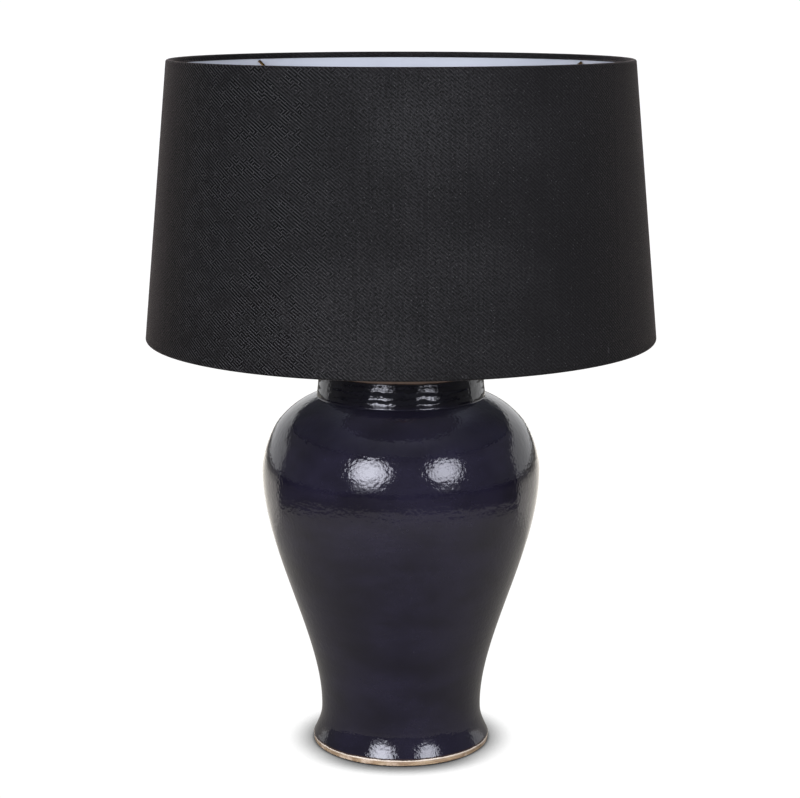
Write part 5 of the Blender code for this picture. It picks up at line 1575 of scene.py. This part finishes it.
def cloth_mesh(name, path, thickness, steps, material):
    """A cone of cloth of some thickness on a path, its UV map the flat cut in metres."""
    left, right = beside(path, 0.5 * thickness), beside(path, -0.5 * thickness)
    outline = left + right[::-1]
    along = lengths_along(path)
    along = along + along[::-1]
    mesh = turned(name, outline + outline[:1], steps, material)
    apex = path[0][0] / math.sin(WALL_LEAN)
    uv = mesh.uv_layers[0].data
    for corner in uv:
        turn, row = corner.uv
        angle = (turn - 0.5) * 2.0 * math.pi * math.sin(WALL_LEAN)
        reach = apex + along[int(round(row)) % len(along)]
        corner.uv = (reach * math.sin(angle), -reach * math.cos(angle))
    return mesh


def cut_size(path):
    """The flat cut's width, length and area: a part of a ring, from the cone unrolled."""
    along = lengths_along(path)
    area = sum(math.pi * (start[0] + end[0]) * (Vector(end) - Vector(start)).length
               for start, end in zip(path, path[1:]))
    inner = path[0][0] / math.sin(WALL_LEAN)
    outer = inner + along[-1]
    half = math.pi * math.sin(WALL_LEAN)
    return 2.0 * outer * math.sin(half), outer - inner * math.cos(half), area


def make_cover():
    wall = [wall_point(TOP_RING), wall_point(BOTTOM_RING)]
    between = finely(wall, 0.015)[1:-1]
    path = rolled_edge(TOP_RING, HEM_TURN)[::-1] + between + rolled_edge(BOTTOM_RING, -HEM_TURN)
    mesh = cloth_mesh("woven_cover", path, COVER_THICKNESS, SHADE_STEPS, CLOTH)
    cover = show("woven_cover", mesh, "shade", "charcoal_fabric", "shade_cover")
    width, length, area = cut_size(path)
    seam = make_lap(wall)


def make_lap(wall):
    """The cloth's glued end, which shows as a narrow raised strip up the back."""
    across, up = 10, 28
    wall_length = 0.271
    points, faces, flat = [], [], []
    for side in (0.0004, -0.0001):
        for row in range(up + 1):
            t = row / up
            radius = wall[0][0] + (wall[1][0] - wall[0][0]) * t
            height = wall[0][1] + (wall[1][1] - wall[0][1]) * t
            for column in range(across + 1):
                sideways = (column / across - 0.5) * LAP_WIDTH
                rise = 0.5 * COVER_THICKNESS + side
                if side > 0.0 and column in (0, across):
                    rise -= 0.0002
                angle = 0.5 * math.pi + sideways / radius
                reach = radius + rise
                points.append((reach * math.cos(angle), reach * math.sin(angle), height))
                flat.append((2.0 + sideways, -t * wall_length))
    row_size, layer = across + 1, (across + 1) * (up + 1)
    for row in range(up):
        for column in range(across):
            a = row * row_size + column
            faces.append((a, a + 1, a + row_size + 1, a + row_size))
            b = layer + a
            faces.append((b + row_size, b + row_size + 1, b + 1, b))
    for column in range(across):
        faces.append((column + 1, column, layer + column, layer + column + 1))
        a = up * row_size + column
        faces.append((a, a + 1, layer + a + 1, layer + a))
    for row in range(up):
        a = row * row_size
        faces.append((a, a + row_size, layer + a + row_size, layer + a))
        b = a + across
        faces.append((b + row_size, b, layer + b, layer + b + row_size))
    mesh = bpy.data.meshes.new("cover_lap")
    mesh.from_pydata(points, [], faces)
    mesh.materials.append(CLOTH)
    mapped = mesh.uv_layers.new(name="UVMap").data
    for corner, loop in zip(mapped, mesh.loops):
        corner.uv = flat[loop.vertex_index]
    return show("cover_lap", tidied(mesh), "shade", "charcoal_fabric")


make_cover()


# ---- Lining ----
# White film laminated to cloth, glued inside the cover between the two rolled edges.

def make_lining_film():
    """Cool white film with the faint print of its backing cloth and soft handling marks."""
    material, tree, shader = start_material("white_laminated_lining")
    spot = surface(tree, "UV")
    print_through = plus(tree, noise(tree, spot, 300.0, 2.0, 0.5, (6.0, 1.0, 1.0)),
                         noise(tree, spot, 300.0, 2.0, 0.5, (1.0, 6.0, 1.0)))
    marks = ramp(tree, noise(tree, spot, 12.0, 4.0, 0.6), 0.35, 0.7)
    white = blend_colours(tree, marks, (0.46, 0.485, 0.53), (0.43, 0.455, 0.50))
    feed(tree, white, shader.inputs["Base Color"])
    feed(tree, ramp(tree, print_through, 0.7, 1.3, 0.38, 0.55), shader.inputs["Roughness"])
    bumped(tree, shader, print_through, 0.00006)
    return material


def make_lining():
    inwards = 0.5 * COVER_THICKNESS + CLEARANCE + 0.5 * LINER_THICKNESS
    clear = RING_WIRE_RADIUS + 2.0 * CLEARANCE
    top, bottom = wall_point(TOP_RING), wall_point(BOTTOM_RING)
    slope = (bottom[0] - top[0]) / (top[1] - bottom[1])
    ends = [(top[0] + slope * (top[1] - height) - inwards, height)
            for height in (TOP_RING[1] - clear, BOTTOM_RING[1] + clear)]
    path = finely(ends, 0.02)
    mesh = cloth_mesh("white_lining", path, LINER_THICKNESS, SHADE_STEPS, make_lining_film())
    lining = show("white_lining", mesh, "shade", "white_liner", "shade_liner")
    width, length, area = cut_size(path)


make_lining()


# ---- Finial ----
# A turned brass ball on a waisted foot screws down on the stud and holds the spider.

def make_finial():
    low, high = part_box("finial")
    tall, ball, foot = high.z - low.z, 0.0080, 0.0075
    bore, depth = STUD_RADIUS + CLEARANCE, 0.0113
    ball_z = tall - ball
    outline = arc((0.0, ball_z), ball, 0.5 * math.pi, math.radians(-52.0), 24)
    outline[0] = (0.0, tall)
    outline += [(0.62 * foot, 0.0064), (0.60 * foot, 0.0056), (0.74 * foot, 0.0048),
                (0.78 * foot, 0.0042), (0.90 * foot, 0.0034), (foot, 0.0026), (foot, 0.0004),
                (foot - 0.0004, 0.0), (bore, 0.0), (bore, depth), (0.0, depth)]
    turned_piece("turned_finial", eased(outline, 0.0003, 2), 80, BRASS, low.z,
                 "finial", "aged_brass", "finial")


make_finial()
